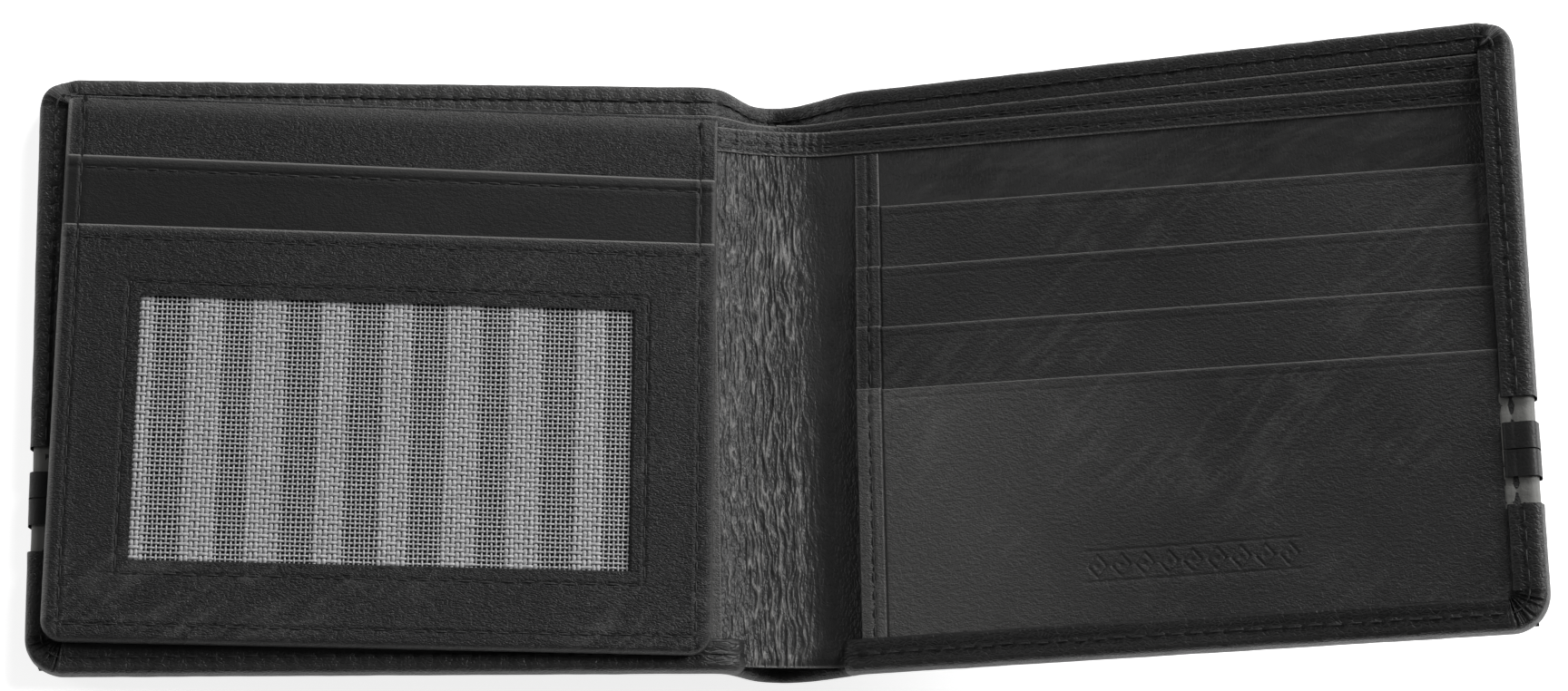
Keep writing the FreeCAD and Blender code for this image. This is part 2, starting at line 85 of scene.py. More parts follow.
class Crossing:
    # line of a layer that crosses the spine: straight on the half, then curved to mid spine
    def __init__(self, side, level, midHeight, handles=(5.0, 6.5), start=None):
        self.side = side
        start = wallet["bendStart"] if start is None else start
        x0, _, z0 = onHalf(side, np.float64(start), np.float64(0), np.float64(level))
        x1, _, z1 = onHalf(side, np.float64(start - handles[0]), np.float64(0), np.float64(level))
        t = np.linspace(0, 1, 240)
        corner = [(x0, z0), (x1, z1), (sideSign[side] * handles[1], midHeight), (0.0, midHeight)]
        weight = [(1 - t) ** 3, 3 * t * (1 - t) ** 2, 3 * t * t * (1 - t), t ** 3]
        self.x = sum(k * p[0] for k, p in zip(weight, corner))
        self.z = sum(k * p[1] for k, p in zip(weight, corner))
        run = np.concatenate([[0], np.cumsum(np.hypot(np.diff(self.x), np.diff(self.z)))])
        self.along = start - run
        self.start = start
        self.end = self.along[-1]
        self.level = level

    def at(self, a, b, w):
        # a as u on the half and on past the crease, w along the normal from the layer's level
        hx, hy, hz = onHalf(self.side, a, b, self.level + w)
        order = np.argsort(self.along)
        px, pz, tx, tz = [np.interp(a, self.along[order], curve[order])
                          for curve in (self.x, self.z, np.gradient(self.x), np.gradient(self.z))]
        # the sign makes the normal point up
        size = np.hypot(tx, tz) * np.where(tx < 0, -1.0, 1.0)
        bent = a < self.start
        return np.where(bent, px - tz / size * w, hx), hy, np.where(bent, pz + tx / size * w, hz)


def addMesh(name, points, faces, uv=None):
    mesh = bpy.data.meshes.new(name)
    mesh.vertices.add(len(points))
    mesh.vertices.foreach_set("co", (np.asarray(points) * mm).ravel())
    faces = np.asarray(faces)
    size = faces.shape[1]
    mesh.loops.add(faces.size)
    mesh.loops.foreach_set("vertex_index", faces.ravel())
    mesh.polygons.add(len(faces))
    mesh.polygons.foreach_set("loop_start", np.arange(0, faces.size, size))
    mesh.polygons.foreach_set("loop_total", np.full(len(faces), size))
    mesh.update(calc_edges=True)
    if uv is not None:
        layer = mesh.uv_layers.new(name="flat")
        layer.data.foreach_set("uv", (np.asarray(uv)[faces.ravel()] * 0.01).ravel())
    mesh.polygons.foreach_set("use_smooth", np.full(len(faces), True))
    mesh.validate()
    piece = bpy.data.objects.new(name, mesh)
    bpy.context.scene.collection.objects.link(piece)
    return piece


def gridFaces(rows, columns, flip):
    index = np.arange(rows * columns).reshape(rows, columns)
    quad = np.stack([index[:-1, :-1], index[1:, :-1], index[1:, 1:], index[:-1, 1:]], axis=-1)
    quad = quad.reshape(-1, 4)
    return quad[:, ::-1] if flip else quad


def gridPiece(name, a, b, x, y, z, flip=False, keep=None, wearAndHighlight=None):
    points = np.stack([x, y, z], axis=-1).reshape(-1, 3)
    uv = np.stack([a, b], axis=-1).reshape(-1, 2)
    faces = gridFaces(a.shape[0], a.shape[1], flip)
    wearAndHighlight = np.zeros(len(points)) if wearAndHighlight is None else np.broadcast_to(wearAndHighlight, a.shape).ravel()
    if keep is not None:
        inside = keep.reshape(-1)
        faces = faces[inside[faces].all(axis=1)]
        used = np.unique(faces)
        renumber = np.full(len(points), -1)
        renumber[used] = np.arange(len(used))
        points, uv, faces, wearAndHighlight = points[used], uv[used], renumber[faces], wearAndHighlight[used]
    piece = addMesh(name, points, faces, uv)
    piece.data.attributes.new("wearAndHighlight", "FLOAT", "POINT").data.foreach_set("value", wearAndHighlight)
    return piece


def lines(low, high, step, fine=()):
    # grid lines from low to high; fine lists (place, reach, spacing) where they come closer
    marks = [low]
    while marks[-1] < high - 1e-6:
        here = marks[-1]
        gaps = [spacing for place, reach, spacing in fine if abs(here - place) < reach]
        marks.append(min([high, here + min(gaps + [step])]))
    return np.array(marks)


def edgeLines(low, high, step, rolledLow, rolledHigh, fine=()):
    # rolledLow and rolledHigh list distances beyond the outline where the roll has its rows
    marks = lines(low, high, step, fine)
    if rolledLow:
        marks = np.concatenate([[low - s for s in rolledLow], marks[marks > low - rolledLow[0]]])
    if rolledHigh:
        marks = np.concatenate([marks[marks < high + rolledHigh[0]], [high + s for s in rolledHigh]])
    return np.unique(np.round(marks, 5))


def rollOutline(ga, gb, box, radius, rolled):
    # plan position and distance beyond the outline for grid coordinates past a rounded box
    a0, a1, b0, b1 = box
    if isinstance(radius, tuple):
        radius = np.where(gb < (b0 + b1) / 2, radius[0], radius[1])
    lowA = a0 + radius if "near" in rolled else -1e9
    highA = a1 - radius if "far" in rolled else 1e9
    lowB = b0 + radius if "low" in rolled else -1e9
    highB = b1 - radius if "high" in rolled else 1e9
    cx = np.clip(ga, lowA, highA)
    cy = np.clip(gb, lowB, highB)
    dx, dy = ga - cx, gb - cy
    ax, ay = np.abs(dx), np.abs(dy)
    m = np.maximum(ax, ay)
    safe = np.where(m == 0, 1, m)
    angle = np.where(ax >= ay, math.pi / 4 * ay / safe, math.pi / 2 - math.pi / 4 * ax / safe)
    dirX = np.sign(dx) * np.cos(angle)
    dirY = np.sign(dy) * np.sin(angle)
    return cx, cy, dirX, dirY, m - radius, angle, radius


def rollProfile(s, thick):
    # half round edge of a sheet of this thickness
    q = thick / 2
    turn = np.clip((s + q) / q, 0, math.pi)
    past = np.maximum(s + q - math.pi * q, 0)
    out = np.where(s < -q, s, -q + q * np.sin(turn) - past)
    up = np.where(s < -q, 0.0, -q + q * np.cos(turn))
    return out, up


def rollRows(thick, back=1.5):
    q = thick / 2
    rows = [-q + math.pi * q * k / 6 for k in range(7)]
    return [-q - 0.15] + rows + [rows[-1] + back]


def rolledSheet(name, place, box, radius, rolled, thick, step=1.0, relief=None, fine=((), ()),
                keep=None, flip=False, sideThick=None, scuffAndHighlight=None, edgeTintAndHighlight=0.85):
    # sheet of leather whose chosen edges are rounded over; place(a, b, w) puts it in the wallet
    a0, a1, b0, b1 = box
    sideThick = sideThick or thick
    rows = rollRows(thick)
    sideRows = rollRows(sideThick)
    ga = edgeLines(a0, a1, step, sideRows if "near" in rolled else None,
                   sideRows if "far" in rolled else None, fine[0])
    gb = edgeLines(b0, b1, step, sideRows if "low" in rolled else None,
                   rows if "high" in rolled else None, fine[1])
    across, down = np.meshgrid(ga, gb, indexing="ij")
    cx, cy, dirX, dirY, s, angle, radius = rollOutline(across, down, box, radius, rolled)
    upward = smooth(angle, math.radians(30), math.radians(70)) * (dirY > 0)
    out, up = rollProfile(s, sideThick + (thick - sideThick) * upward)
    inside = s <= -radius
    planA = np.where(inside, across, cx + dirX * (radius + out))
    planB = np.where(inside, down, cy + dirY * (radius + out))
    w = thick + np.where(inside, 0, up)
    if relief is not None:
        fade = smooth(-s, -0.1, 0.6)
        w = w + relief(planA, planB) * np.where(inside, 1, fade)
    x, y, z = place(planA, planB, w)
    kept = None if keep is None else keep(planA, planB)
    gap = {"near": across - a0, "far": a1 - across, "low": down - b0, "high": b1 - down}
    margin = np.min([gap[edge] for edge in rolled], axis=0)
    past = np.where(inside, -margin, s)
    # lighter band along each rounded edge: partly a lighter cut edge, partly a painted highlight that is
    # brighter on edges facing up
    wearAndHighlight = edgeTintAndHighlight * np.exp(-((past + 0.12) / 0.22) ** 2) * (0.6 + 0.4 * upward)
    if scuffAndHighlight is not None:
        wearAndHighlight = np.maximum(wearAndHighlight, scuffAndHighlight(planA, planB))
    return gridPiece(name, across, down, x, y, z, flip, kept, wearAndHighlight)


def ripple(a, b, size, seed):
    # cheap smooth noise from a few crossing waves
    local = np.random.default_rng(seed)
    total = 0 * a
    for octave in range(3):
        for _ in range(5):
            angle = local.uniform(0, math.pi)
            k = 2 * math.pi / (size / 1.9 ** octave) * local.uniform(0.6, 1.4)
            phase = local.uniform(0, 2 * math.pi)
            wave = np.sin(k * (a * math.cos(angle) + b * math.sin(angle)) + phase)
            total = total + wave / (5 * 1.7 ** octave)
    return total


def groove(distance, depth, width):
    return -depth * np.exp(-(distance / width) ** 2)


def cloudy(a, b, sizeA, sizeB, seed):
    # smooth random field from 0 to 1 whose patches measure sizeA by sizeB
    table = np.random.default_rng(seed).random((128, 128))
    x, y = a / sizeA, b / sizeB
    ix, iy = np.floor(x).astype(int), np.floor(y).astype(int)
    fx, fy = smooth(x - ix, 0, 1), smooth(y - iy, 0, 1)

    def corner(dx, dy):
        return table[(ix + dx) % 128, (iy + dy) % 128]

    low = corner(0, 0) * (1 - fx) + corner(1, 0) * fx
    high = corner(0, 1) * (1 - fx) + corner(1, 1) * fx
    return low * (1 - fy) + high * fy


def creased(a, b, sizeA, sizeB, seed, sharp=3.0):
    # network of narrow ridges, 1 on a ridge and 0 away from it
    field = 0.65 * cloudy(a, b, sizeA, sizeB, seed)
    field = field + 0.35 * cloudy(a, b, sizeA / 2.1, sizeB / 2.1, seed + 1)
    return (1 - np.clip(np.abs(field - 0.5) * 4.5, 0, 1)) ** sharp


def turned(a, b, degrees):
    s, c = math.sin(math.radians(degrees)), math.cos(math.radians(degrees))
    return a * c + b * s, b * c - a * s


def nodeTree(name):
    material = bpy.data.materials.new(name)
    material.use_nodes = True
    tree = material.node_tree
    return material, tree, tree.nodes["Principled BSDF"]


def link(tree, source, output, target, socket):
    tree.links.new(source.outputs[output], target.inputs[socket])


def addNode(tree, kind, **values):
    node = tree.nodes.new("ShaderNode" + kind)
    for socket, value in values.items():
        node.inputs[socket].default_value = value
    return node


def toneNode(tree, source, low, high, dark, light):
    # colour that goes from dark to light while the source goes from low to high
    tone = addNode(tree, "ValToRGB")
    for stop, place, colour in zip(tone.color_ramp.elements, (low, high), (dark, light)):
        stop.position = place
        stop.color = colour + (1,)
    link(tree, source, "Fac", tone, "Fac")
    return tone


def mathNode(tree, kind, first, second):
    node = addNode(tree, "Math")
    node.operation = kind
    for slot, value in enumerate((first, second)):
        if isinstance(value, tuple):
            tree.links.new(value[0].outputs[value[1]], node.inputs[slot])
        else:
            node.inputs[slot].default_value = value
    return node


# lighter colour mixed into the leather: real scuffs and lighter edges, and also painted highlights and
# painted sheen
wearAndHighlightColour = (0.22, 0.217, 0.212)


def leatherMaterial(key, look):
    material, tree, shader = nodeTree(key + "Leather")
    uv = addNode(tree, "TexCoord")
    stretch = addNode(tree, "Mapping", Rotation=(0, 0, math.radians(look["grainTurn"])),
                      Scale=look["grainStretch"])
    link(tree, uv, "UV", stretch, "Vector")
    cells = addNode(tree, "TexVoronoi", Scale=look["grain"])
    cells.feature = "DISTANCE_TO_EDGE"
    link(tree, stretch, "Vector", cells, "Vector")
    veins = addNode(tree, "TexNoise", Scale=look["grain"] * 0.55, Detail=6, Roughness=0.62)
    link(tree, stretch, "Vector", veins, "Vector")
    cloud = addNode(tree, "TexNoise", Scale=look["cloud"], Detail=4)
    link(tree, uv, "UV", cloud, "Vector")

    tint = look.get("tint", (1, 1, 1))
    dark, light = [tuple(look[end] * k for k in tint) for end in ("dark", "light")]
    tone = toneNode(tree, cloud, 0.3, 0.72, dark, light)
    # this attribute mixes in the lighter colour: scuffs and lighter edges, and also painted highlights and
    # painted sheen
    wearAndHighlight = addNode(tree, "Attribute")
    wearAndHighlight.attribute_name = "wearAndHighlight"
    mixed = addNode(tree, "Mix")
    mixed.data_type = "RGBA"
    tree.links.new(wearAndHighlight.outputs["Fac"], mixed.inputs[0])
    tree.links.new(tone.outputs["Color"], mixed.inputs[6])
    mixed.inputs[7].default_value = wearAndHighlightColour + (1,)
    tree.links.new(mixed.outputs[2], shader.inputs["Base Color"])

    gloss = addNode(tree, "MapRange")
    gloss.inputs["To Min"].default_value, gloss.inputs["To Max"].default_value = look["rough"]
    link(tree, veins, "Fac", gloss, "Value")
    link(tree, gloss, "Result", shader, "Roughness")

    pebble = mathNode(tree, "MINIMUM", (cells, "Distance"), 0.22)
    pebble = mathNode(tree, "MULTIPLY", (pebble, 0), look["pebble"])
    height = mathNode(tree, "MULTIPLY_ADD", (veins, "Fac"), look["vein"])
    tree.links.new(pebble.outputs[0], height.inputs[2])
    bump = addNode(tree, "Bump", Strength=look["bump"], Distance=0.0002)
    link(tree, height, 0, bump, "Height")
    link(tree, bump, "Normal", shader, "Normal")
    shader.inputs["Specular IOR Level"].default_value = look["specular"]
    return material


leatherLooks = {
    "cover": {"dark": 0.012, "light": 0.021, "grain": 130, "grainTurn": 20, "grainStretch": (1, 1.5, 1),
              "cloud": 3.0, "pebble": 2.0, "vein": 1.0, "rough": (0.34, 0.52), "bump": 0.6,
              "specular": 0.34},
    "lining": {"dark": 0.03, "light": 0.05, "grain": 160, "grainTurn": 0, "grainStretch": (1, 1, 1),
               "cloud": 3.0, "pebble": 1.2, "vein": 1.0, "rough": (0.5, 0.7), "bump": 0.35,
               "specular": 0.3},
    "flap": {"dark": 0.0059, "light": 0.011, "tint": (1, 1, 1.03), "grain": 150, "grainTurn": 35,
             "grainStretch": (1, 2.2, 1), "cloud": 3.5, "pebble": 1.6, "vein": 1.9,
             "rough": (0.34, 0.52), "bump": 0.75, "specular": 0.37},
    "spine": {"dark": 0.024, "light": 0.046, "grain": 120, "grainTurn": 5, "grainStretch": (1.6, 1, 1),
              "cloud": 4.0, "pebble": 1.6, "vein": 1.6, "rough": (0.24, 0.38), "bump": 0.45,
              "specular": 0.22},
    "pocket": {"dark": 0.007, "light": 0.013, "grain": 170, "grainTurn": 35, "grainStretch": (1, 2, 1),
               "cloud": 3.5, "pebble": 1.0, "vein": 1.2, "rough": (0.42, 0.58), "bump": 0.4,
               "specular": 0.32},
    "panel": {"dark": 0.018, "light": 0.042, "grain": 190, "grainTurn": 50, "grainStretch": (1, 1.6, 1),
              "cloud": 2.4, "pebble": 1.3, "vein": 2.0, "rough": (0.28, 0.48), "bump": 0.75,
              "specular": 0.26},
    "grey": {"dark": 0.14, "light": 0.187, "tint": (1, 1, 0.95), "grain": 170, "grainTurn": 0,
             "grainStretch": (1, 1, 1), "cloud": 5.0, "pebble": 1.0, "vein": 0.8,
             "rough": (0.5, 0.65), "bump": 0.3, "specular": 0.27},
    "strip": {"dark": 0.0103, "light": 0.0154, "grain": 150, "grainTurn": 0, "grainStretch": (1, 1, 1),
              "cloud": 5.0, "pebble": 1.2, "vein": 0.8, "rough": (0.4, 0.55), "bump": 0.35,
              "specular": 0.3},
}
leather = {key: leatherMaterial(key, look) for key, look in leatherLooks.items()}


def dress(piece, finish, nodes=(), body=None):
    piece.data.materials.append(leather[finish])
    if nodes:
        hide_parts(*nodes)
    if body:
        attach(piece, body)
    return piece


def bridge(piece):
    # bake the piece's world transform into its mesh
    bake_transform(piece)
    return piece


def partNames(side, part):
    # the left piece of a layer also stands for the layer's share of the spine
    return [side + "_" + part] + (["spine_" + part] if side == "left" else [])


print("materials made")


shellLook = {
    "hemWidth": 4.8,
    "edgeSoft": 1.1,
    "lipThick": 0.55,
    "stackTop": {"left": 4.95, "right": 5.5},
    "topFold": 1.9,
    "bands": (17.8, 21.7, 25.6, 29.5, 33.2),
    "recess": 0.45,
    "seam": 0.2,
    "stitchInset": 2.4, "stitchPitch": 2.8,
    "pleats": 6.3,
}


def wrapProfile(s, high, hem):
    # outside of the cover: flat, up round the edge and back over the top as a hem
    soft = np.minimum(shellLook["edgeSoft"], high * 0.48)
    quarter = math.pi / 2 * soft
    wallRun = high - 2 * soft
    t1 = s + soft
    t2 = t1 - quarter
    t3 = t2 - wallRun
    t4 = t3 - quarter
    t5 = t4 - (hem - soft)
    a1 = np.clip(t1 / soft, 0, math.pi / 2)
    a3 = np.clip(t3 / soft, 0, math.pi / 2)
    out = np.where(t1 < 0, s, -soft + soft * np.sin(a1))
    up = np.where(t1 < 0, 0, soft - soft * np.cos(a1))
    up = np.where(t2 > 0, soft + np.clip(t2, 0, wallRun), up)
    bulge = 0.18 * np.sin(np.clip(t2 / np.maximum(wallRun, 0.01), 0, 1) * math.pi)
    out = np.where(t2 > 0, bulge, out)
    out = np.where(t3 > 0, -soft + soft * np.cos(a3), out)
    up = np.where(t3 > 0, high - soft + soft * np.sin(a3), up)
    out = np.where(t4 > 0, -soft - np.clip(t4, 0, hem - soft), out)
    drop = np.clip(t5, 0, shellLook["lipThick"])
    up = np.where(t5 > 0, high - drop, up)
    return out, up


def coverPiece(side, name, low, high, finish, part, bottom=False, top=False, inset=0.0):
    # one band of the cover, between two heights; bottom and top say whether that edge is hemmed
    line = Crossing(side, 0.0, 0.0)
    stack = shellLook["stackTop"][side]
    fold = shellLook["topFold"]
    hem = shellLook["hemWidth"]
    soft = shellLook["edgeSoft"]
    longest = stack + hem + 2.0
    rows = list(np.concatenate([np.linspace(-soft - 0.2, longest - 3.2, 34), [longest - 2.4, longest]]))
    radius = wallet["cornerRound"]
    box = (0.0, wide - inset, low, high)
    rolled = {"far"} | ({"low"} if bottom else set()) | ({"high"} if top else set())
    corner = radius / 2
    ga = edgeLines(line.end, wide - inset, 0.7, None, rows, [(wide - corner, 3.0, 0.2)])
    gb = edgeLines(low, high, 1.0, rows if bottom else None, rows if top else None,
                   [(corner, 3.0, 0.2)] if bottom else [(tall - corner, 3.0, 0.2)])
    if not bottom and not top:
        gb = np.linspace(low, high, max(3, int((high - low) / 0.8)))
    across, down = np.meshgrid(ga, gb, indexing="ij")
    cx, cy, dirX, dirY, s, angle, _ = rollOutline(across, down, box, radius, rolled)
    inside = s <= -radius
    # how far the edge here is the outer one (tall wrap) or the top one (low fold)
    upper = smooth(angle, math.radians(25), math.radians(75)) * (dirY > 0)
    past = 1 - smooth(cx, -1.6, 0.2)
    lowFold = np.maximum(upper, past * (np.abs(dirY) > 0.5))
    wrap = stack + (fold - stack) * lowFold - 2.2 * inset
    out, up = wrapProfile(s, wrap, hem - inset * 0.6)
    wave = 0.05 * ripple(across, down, 9, 11 + int(low))
    pucker = 0.07 * np.sin(2 * math.pi * (cx * np.abs(dirY) + cy * np.abs(dirX)) / 2.7)
    onHem = smooth(s, 1.0, wrap) * (s > 0)
    turnShare = np.degrees(angle) / 90
    fan = smooth(turnShare, 0.03, 0.12) * (1 - smooth(turnShare, 0.88, 0.97))
    tooth = (turnShare * shellLook["pleats"] + 0.15 * np.sin(turnShare * 23)) % 1.0
    pleat = (0.34 * tooth ** 1.6 - 0.2) * fan * smooth(s, wrap * 0.5, wrap + 0.8)
    out = out + np.where(s > 0, wave * 0.8, 0)
    stitchAt = wrap + shellLook["stitchInset"] - 0.43 * soft
    up = up + np.where(inside, wave * 1.6, wave) + onHem * pucker + pleat
    up = up + groove(s - stitchAt, 0.14, 0.3) * (s > 0)
    planA = np.where(inside, across, cx + dirX * (radius + out))
    planB = np.where(inside, down, cy + dirY * (radius + out))
    lift = np.where(inside, wave * 1.6, up)
    x, y, z = line.at(planA, planB, lift + inset)
    # painted highlight along the rounded outer edge of the cover; the next line also makes the left half's
    # hem along the top fold lighter
    edgeHighlightAndPaleHem = 0.13 * np.exp(-((s - wrap + 0.3) / 0.7) ** 2) * (0.5 + 0.5 * cloudy(planA, planB, 7, 7, 91))
    edgeHighlightAndPaleHem = edgeHighlightAndPaleHem + 0.10 * lowFold * onHem * (side == "left") * (cx > 4)
    piece = gridPiece(name, across, down, x, y, z, flip=sideSign[side] > 0, wearAndHighlight=edgeHighlightAndPaleHem)
    bridge(dress(piece, finish, partNames(side, part)))


def makeShell():
    b = shellLook["bands"]
    half = shellLook["seam"] / 2
    for side in ("left", "right"):
        coverPiece(side, side + "LowerCover", 0, b[0], "cover", "lower_skin", bottom=True)
        coverPiece(side, side + "UpperCover", b[4], tall, "cover", "upper_skin", top=True)
        coverPiece(side, side + "GreyBand", b[0] - 0.6, b[4] + 0.6, "grey", "grey_underlay",
                   inset=shellLook["recess"])
        coverPiece(side, side + "StripLow", b[1], b[2] - half, "strip", "inlay_strip_lower")
        coverPiece(side, side + "StripHigh", b[2] + half, b[3], "strip", "inlay_strip_upper")
    print("shell made")


makeShell()


def sewn(distance, along, pitch, depth=0.13):
    # leather drawn down along a row of stitches, deeper at every hole
    pull = 0.15 + 0.95 * (0.5 + 0.5 * np.cos(2 * math.pi * along / pitch)) ** 2
    lips = 0.06 * np.exp(-((np.abs(distance) - 0.62) / 0.33) ** 2)
    return groove(distance, depth, 0.24) * pull + lips


inside = {
    "reach": 99.2,
    "liningLevel": 1.3, "liningMid": 1.4,
    "dividerLevel": 1.4, "dividerThick": 0.6, "dividerMid": 6.4,
    "dividerTop": {"left": (85.4, 85.4), "right": (85.6, 85.1)},
    "panelLevel": 2.1, "panelThick": 0.6, "panelMid": 9.6,
    "panelHandles": {"left": (3.1, 7.6), "right": (6.5, 5.5)},
    "panelTop": {"left": (83.2, 83.4), "right": (83.2, 80.7)},
    "bindingWidth": 3.9, "bindingThick": 0.42, "bindingStitch": 2.35,
    "leafLevel": 2.8, "leafThick": 0.45, "leafPitch": 0.55,
    "leafNear": 1.4, "leafLow": 3.8,
    "rightEdges": ((71.0, 68.1), (61.3, 59.1), (51.9, 49.7), (42.2, 40.3)),
    "leftEdges": ((71.0, 71.0), (61.4, 61.4), (51.8, 51.8)),
    "cutLine": 5.35, "cutStitch": 3.45,
    "stitchPitch": 2.7, "dividerStitch": 1.7, "stripTop": 79.2, "leafMargin": 3.9,
}


def topAt(ends, a, reach=inside["reach"]):
    return ends[0] + (ends[1] - ends[0]) * np.clip(a / reach, 0, 1)


def heightAt(ends, low, a, b):
    # height of the line b above the lower edge on a sheet whose top edge slopes
    return low + b * (topAt(ends, a) - low) / (ends[0] - low)


def makeNoteLayers(side):
    sign = sideSign[side]
    reach = inside["reach"]
    line = Crossing(side, inside["liningLevel"], inside["liningMid"])
    a, b = np.meshgrid(lines(line.end, reach, 1.2), np.linspace(0.9, 89.1, 60), indexing="ij")
    x, y, z = line.at(a, b, 0.04 * ripple(a, b, 14, 21))
    piece = gridPiece(side + "Lining", a, b, x, y, z, flip=sign < 0)
    bridge(dress(piece, "lining", partNames(side, "note_lining")))

    ends = inside["dividerTop"][side]
    line = Crossing(side, inside["dividerLevel"], inside["dividerMid"])
    high = ends[0] - 1.0

    def placeDivider(a, b, w):
        return line.at(a, heightAt(ends, 1.0, a, b), w)

    def dividerRelief(a, b):
        down = topAt(ends, a) - heightAt(ends, 1.0, a, b)
        return sewn(down - inside["dividerStitch"], a, inside["stitchPitch"]) + 0.05 * ripple(a, b, 12, 5)

    piece = rolledSheet(side + "Divider", placeDivider, (line.end, reach, 0, high), 0.01, {"high"},
                        inside["dividerThick"], 0.8, dividerRelief,
                        ((), ((high - inside["dividerStitch"], 1.2, 0.2),)), flip=sign < 0)
    bridge(dress(piece, "cover", partNames(side, "note_divider")))


def panelLine(side, extra=0.0):
    handles = inside["panelHandles"][side]
    return Crossing(side, inside["panelLevel"] + extra, inside["panelMid"] + extra, handles, 3.0)


def spineCreases(side, a, b, line):
    # lengthwise creases of the lining over the spine, strong beside the left crease
    across = sideSign[side] * (a - line.end)
    sway = 1.2 * cloudy(across * 0 + 3, b, 1, 15, 3) + 0.9 * cloudy(across, b, 3.5, 6, 4)
    sway = sway + 0.55 * cloudy(across, b, 1.6, 2.2, 6)
    strong = smooth(across, -14.5, -9.5) * (1 - smooth(across, -2.5, 7.0))
    weak = smooth(across, -17, -12) * (1 - smooth(across, 7, 12)) * 0.15
    long = creased(across + sway, b, 0.76, 6.0, 8, 2.4)
    short = creased(across + sway * 0.7, b, 0.5, 2.4, 15, 1.8)
    broken = 0.1 + 1.3 * cloudy(across + sway, b, 0.6, 1.5, 55) ** 1.3
    pebble = creased(across, b, 0.5, 0.9, 57, 1.2)
    fine = 1 - smooth(across, -9.5, -3.5)
    # painted highlight on the crease crests
    crestHighlight = np.clip(long ** 2 * broken * (1 - 0.45 * fine) + 0.55 * short ** 2 * broken, 0, 1)
    height = 0.21 * long * (1 - 0.4 * fine) + 0.10 * short + 0.05 * pebble
    return height * (strong + weak) - 0.10 * strong, crestHighlight * (strong + weak * 0.5)


def makePanel(side):
    sign = sideSign[side]
    reach = inside["reach"]
    ends = inside["panelTop"][side]
    line = panelLine(side)
    high = ends[0] - 1.0

    def placePanel(a, b, w):
        return line.at(a, heightAt(ends, 1.0, a, b), w)

    def panelRelief(a, b):
        v = heightAt(ends, 1.0, a, b)
        p, q = turned(a, v, -8)
        slot = smooth(a, 6, 12) * smooth(v, 66, 70)
        crease = 0.10 * creased(p, q, 16, 2.6, 41, 2.0) * slot
        foot = groove(v - 1.2, 0.25, 0.5)
        return spineCreases(side, a, v, line)[0] + crease + foot + 0.05 * ripple(a, v, 17, 9)

    def panelCrestHighlightAndScuff(a, b):
        v = heightAt(ends, 1.0, a, b)
        slot = smooth(a, 8, 12) * smooth(v, 64, 69)
        p, q = turned(a, v, 24)
        # painted highlight on the spine crease crests, plus light scuff lines in the slot area
        crestHighlight = np.clip(1.7 * spineCreases(side, a, v, line)[1], 0, 1) ** 2
        return 0.78 * crestHighlight + 0.09 * slot * creased(p, q, 8, 1.5, 43, 3.0)

    piece = rolledSheet(side + "Panel", placePanel, (line.end, reach, 0, high), 0.01, {"high", "low"},
                        inside["panelThick"], 1.1, panelRelief,
                        (((line.end, 12.5, 0.12),), ((high / 2, high / 2, 0.35),)), flip=sign < 0,
                        scuffAndHighlight=panelCrestHighlightAndScuff)
    bridge(dress(piece, "spine", partNames(side, "inner_panel")))

    width = inside["bindingWidth"]
    stitch = inside["bindingStitch"]
    line = panelLine(side, inside["panelThick"] - 0.1)

    def placeBinding(a, b, w):
        return line.at(a, topAt(ends, a) + 0.25 - width + b, w)

    def bindingRelief(a, b):
        across = sign * (a - line.end)
        bunch = 0.16 * creased(across, b * 0.3, 1.1, 9, 31, 1.0) * smooth(across, -16, -9)
        bunch = bunch * (1 - smooth(across, 3, 12)) * smooth(b, 0.1, 1.2)
        rows = sewn(b - (width - stitch), a, inside["stitchPitch"], 0.2)
        return rows + bunch + 0.03 * ripple(a, b, 6, 77)

    piece = rolledSheet(side + "Binding", placeBinding, (line.end, reach - 0.5, 0, width), 0.01,
                        {"high", "low"}, inside["bindingThick"], 0.6, bindingRelief,
                        (((line.end, 13, 0.25),), ((width / 2, 3, 0.25),)), flip=sign < 0)
    bridge(dress(piece, "cover", partNames(side, "top_binding")))


ornament = {"middle": (51.2, 13.1), "count": 9, "pitch": 3.5, "size": 1.45, "line": 2.25, "depth": 0.19}


def pressedOrnament(a, b):
    # row of pressed lozenges between two fine lines
    da, db = a - ornament["middle"][0], b - ornament["middle"][1]
    half = ornament["count"] / 2 * ornament["pitch"]
    place = np.round(da / ornament["pitch"])
    local = da - place * ornament["pitch"]
    within = np.abs(place) <= (ornament["count"] - 1) / 2
    rim = np.abs(local) / 0.95 + np.abs(db) / 1.15 - ornament["size"]
    shape = groove(rim, ornament["depth"], 0.2) * within
    dot = groove(np.hypot(local, db), ornament["depth"], 0.4) * within
    span = smooth(half + 0.4 - np.abs(da), 0, 0.5)
    rule = groove(np.abs(db) - ornament["line"], ornament["depth"] * 0.6, 0.2) * span
    return shape + dot + rule


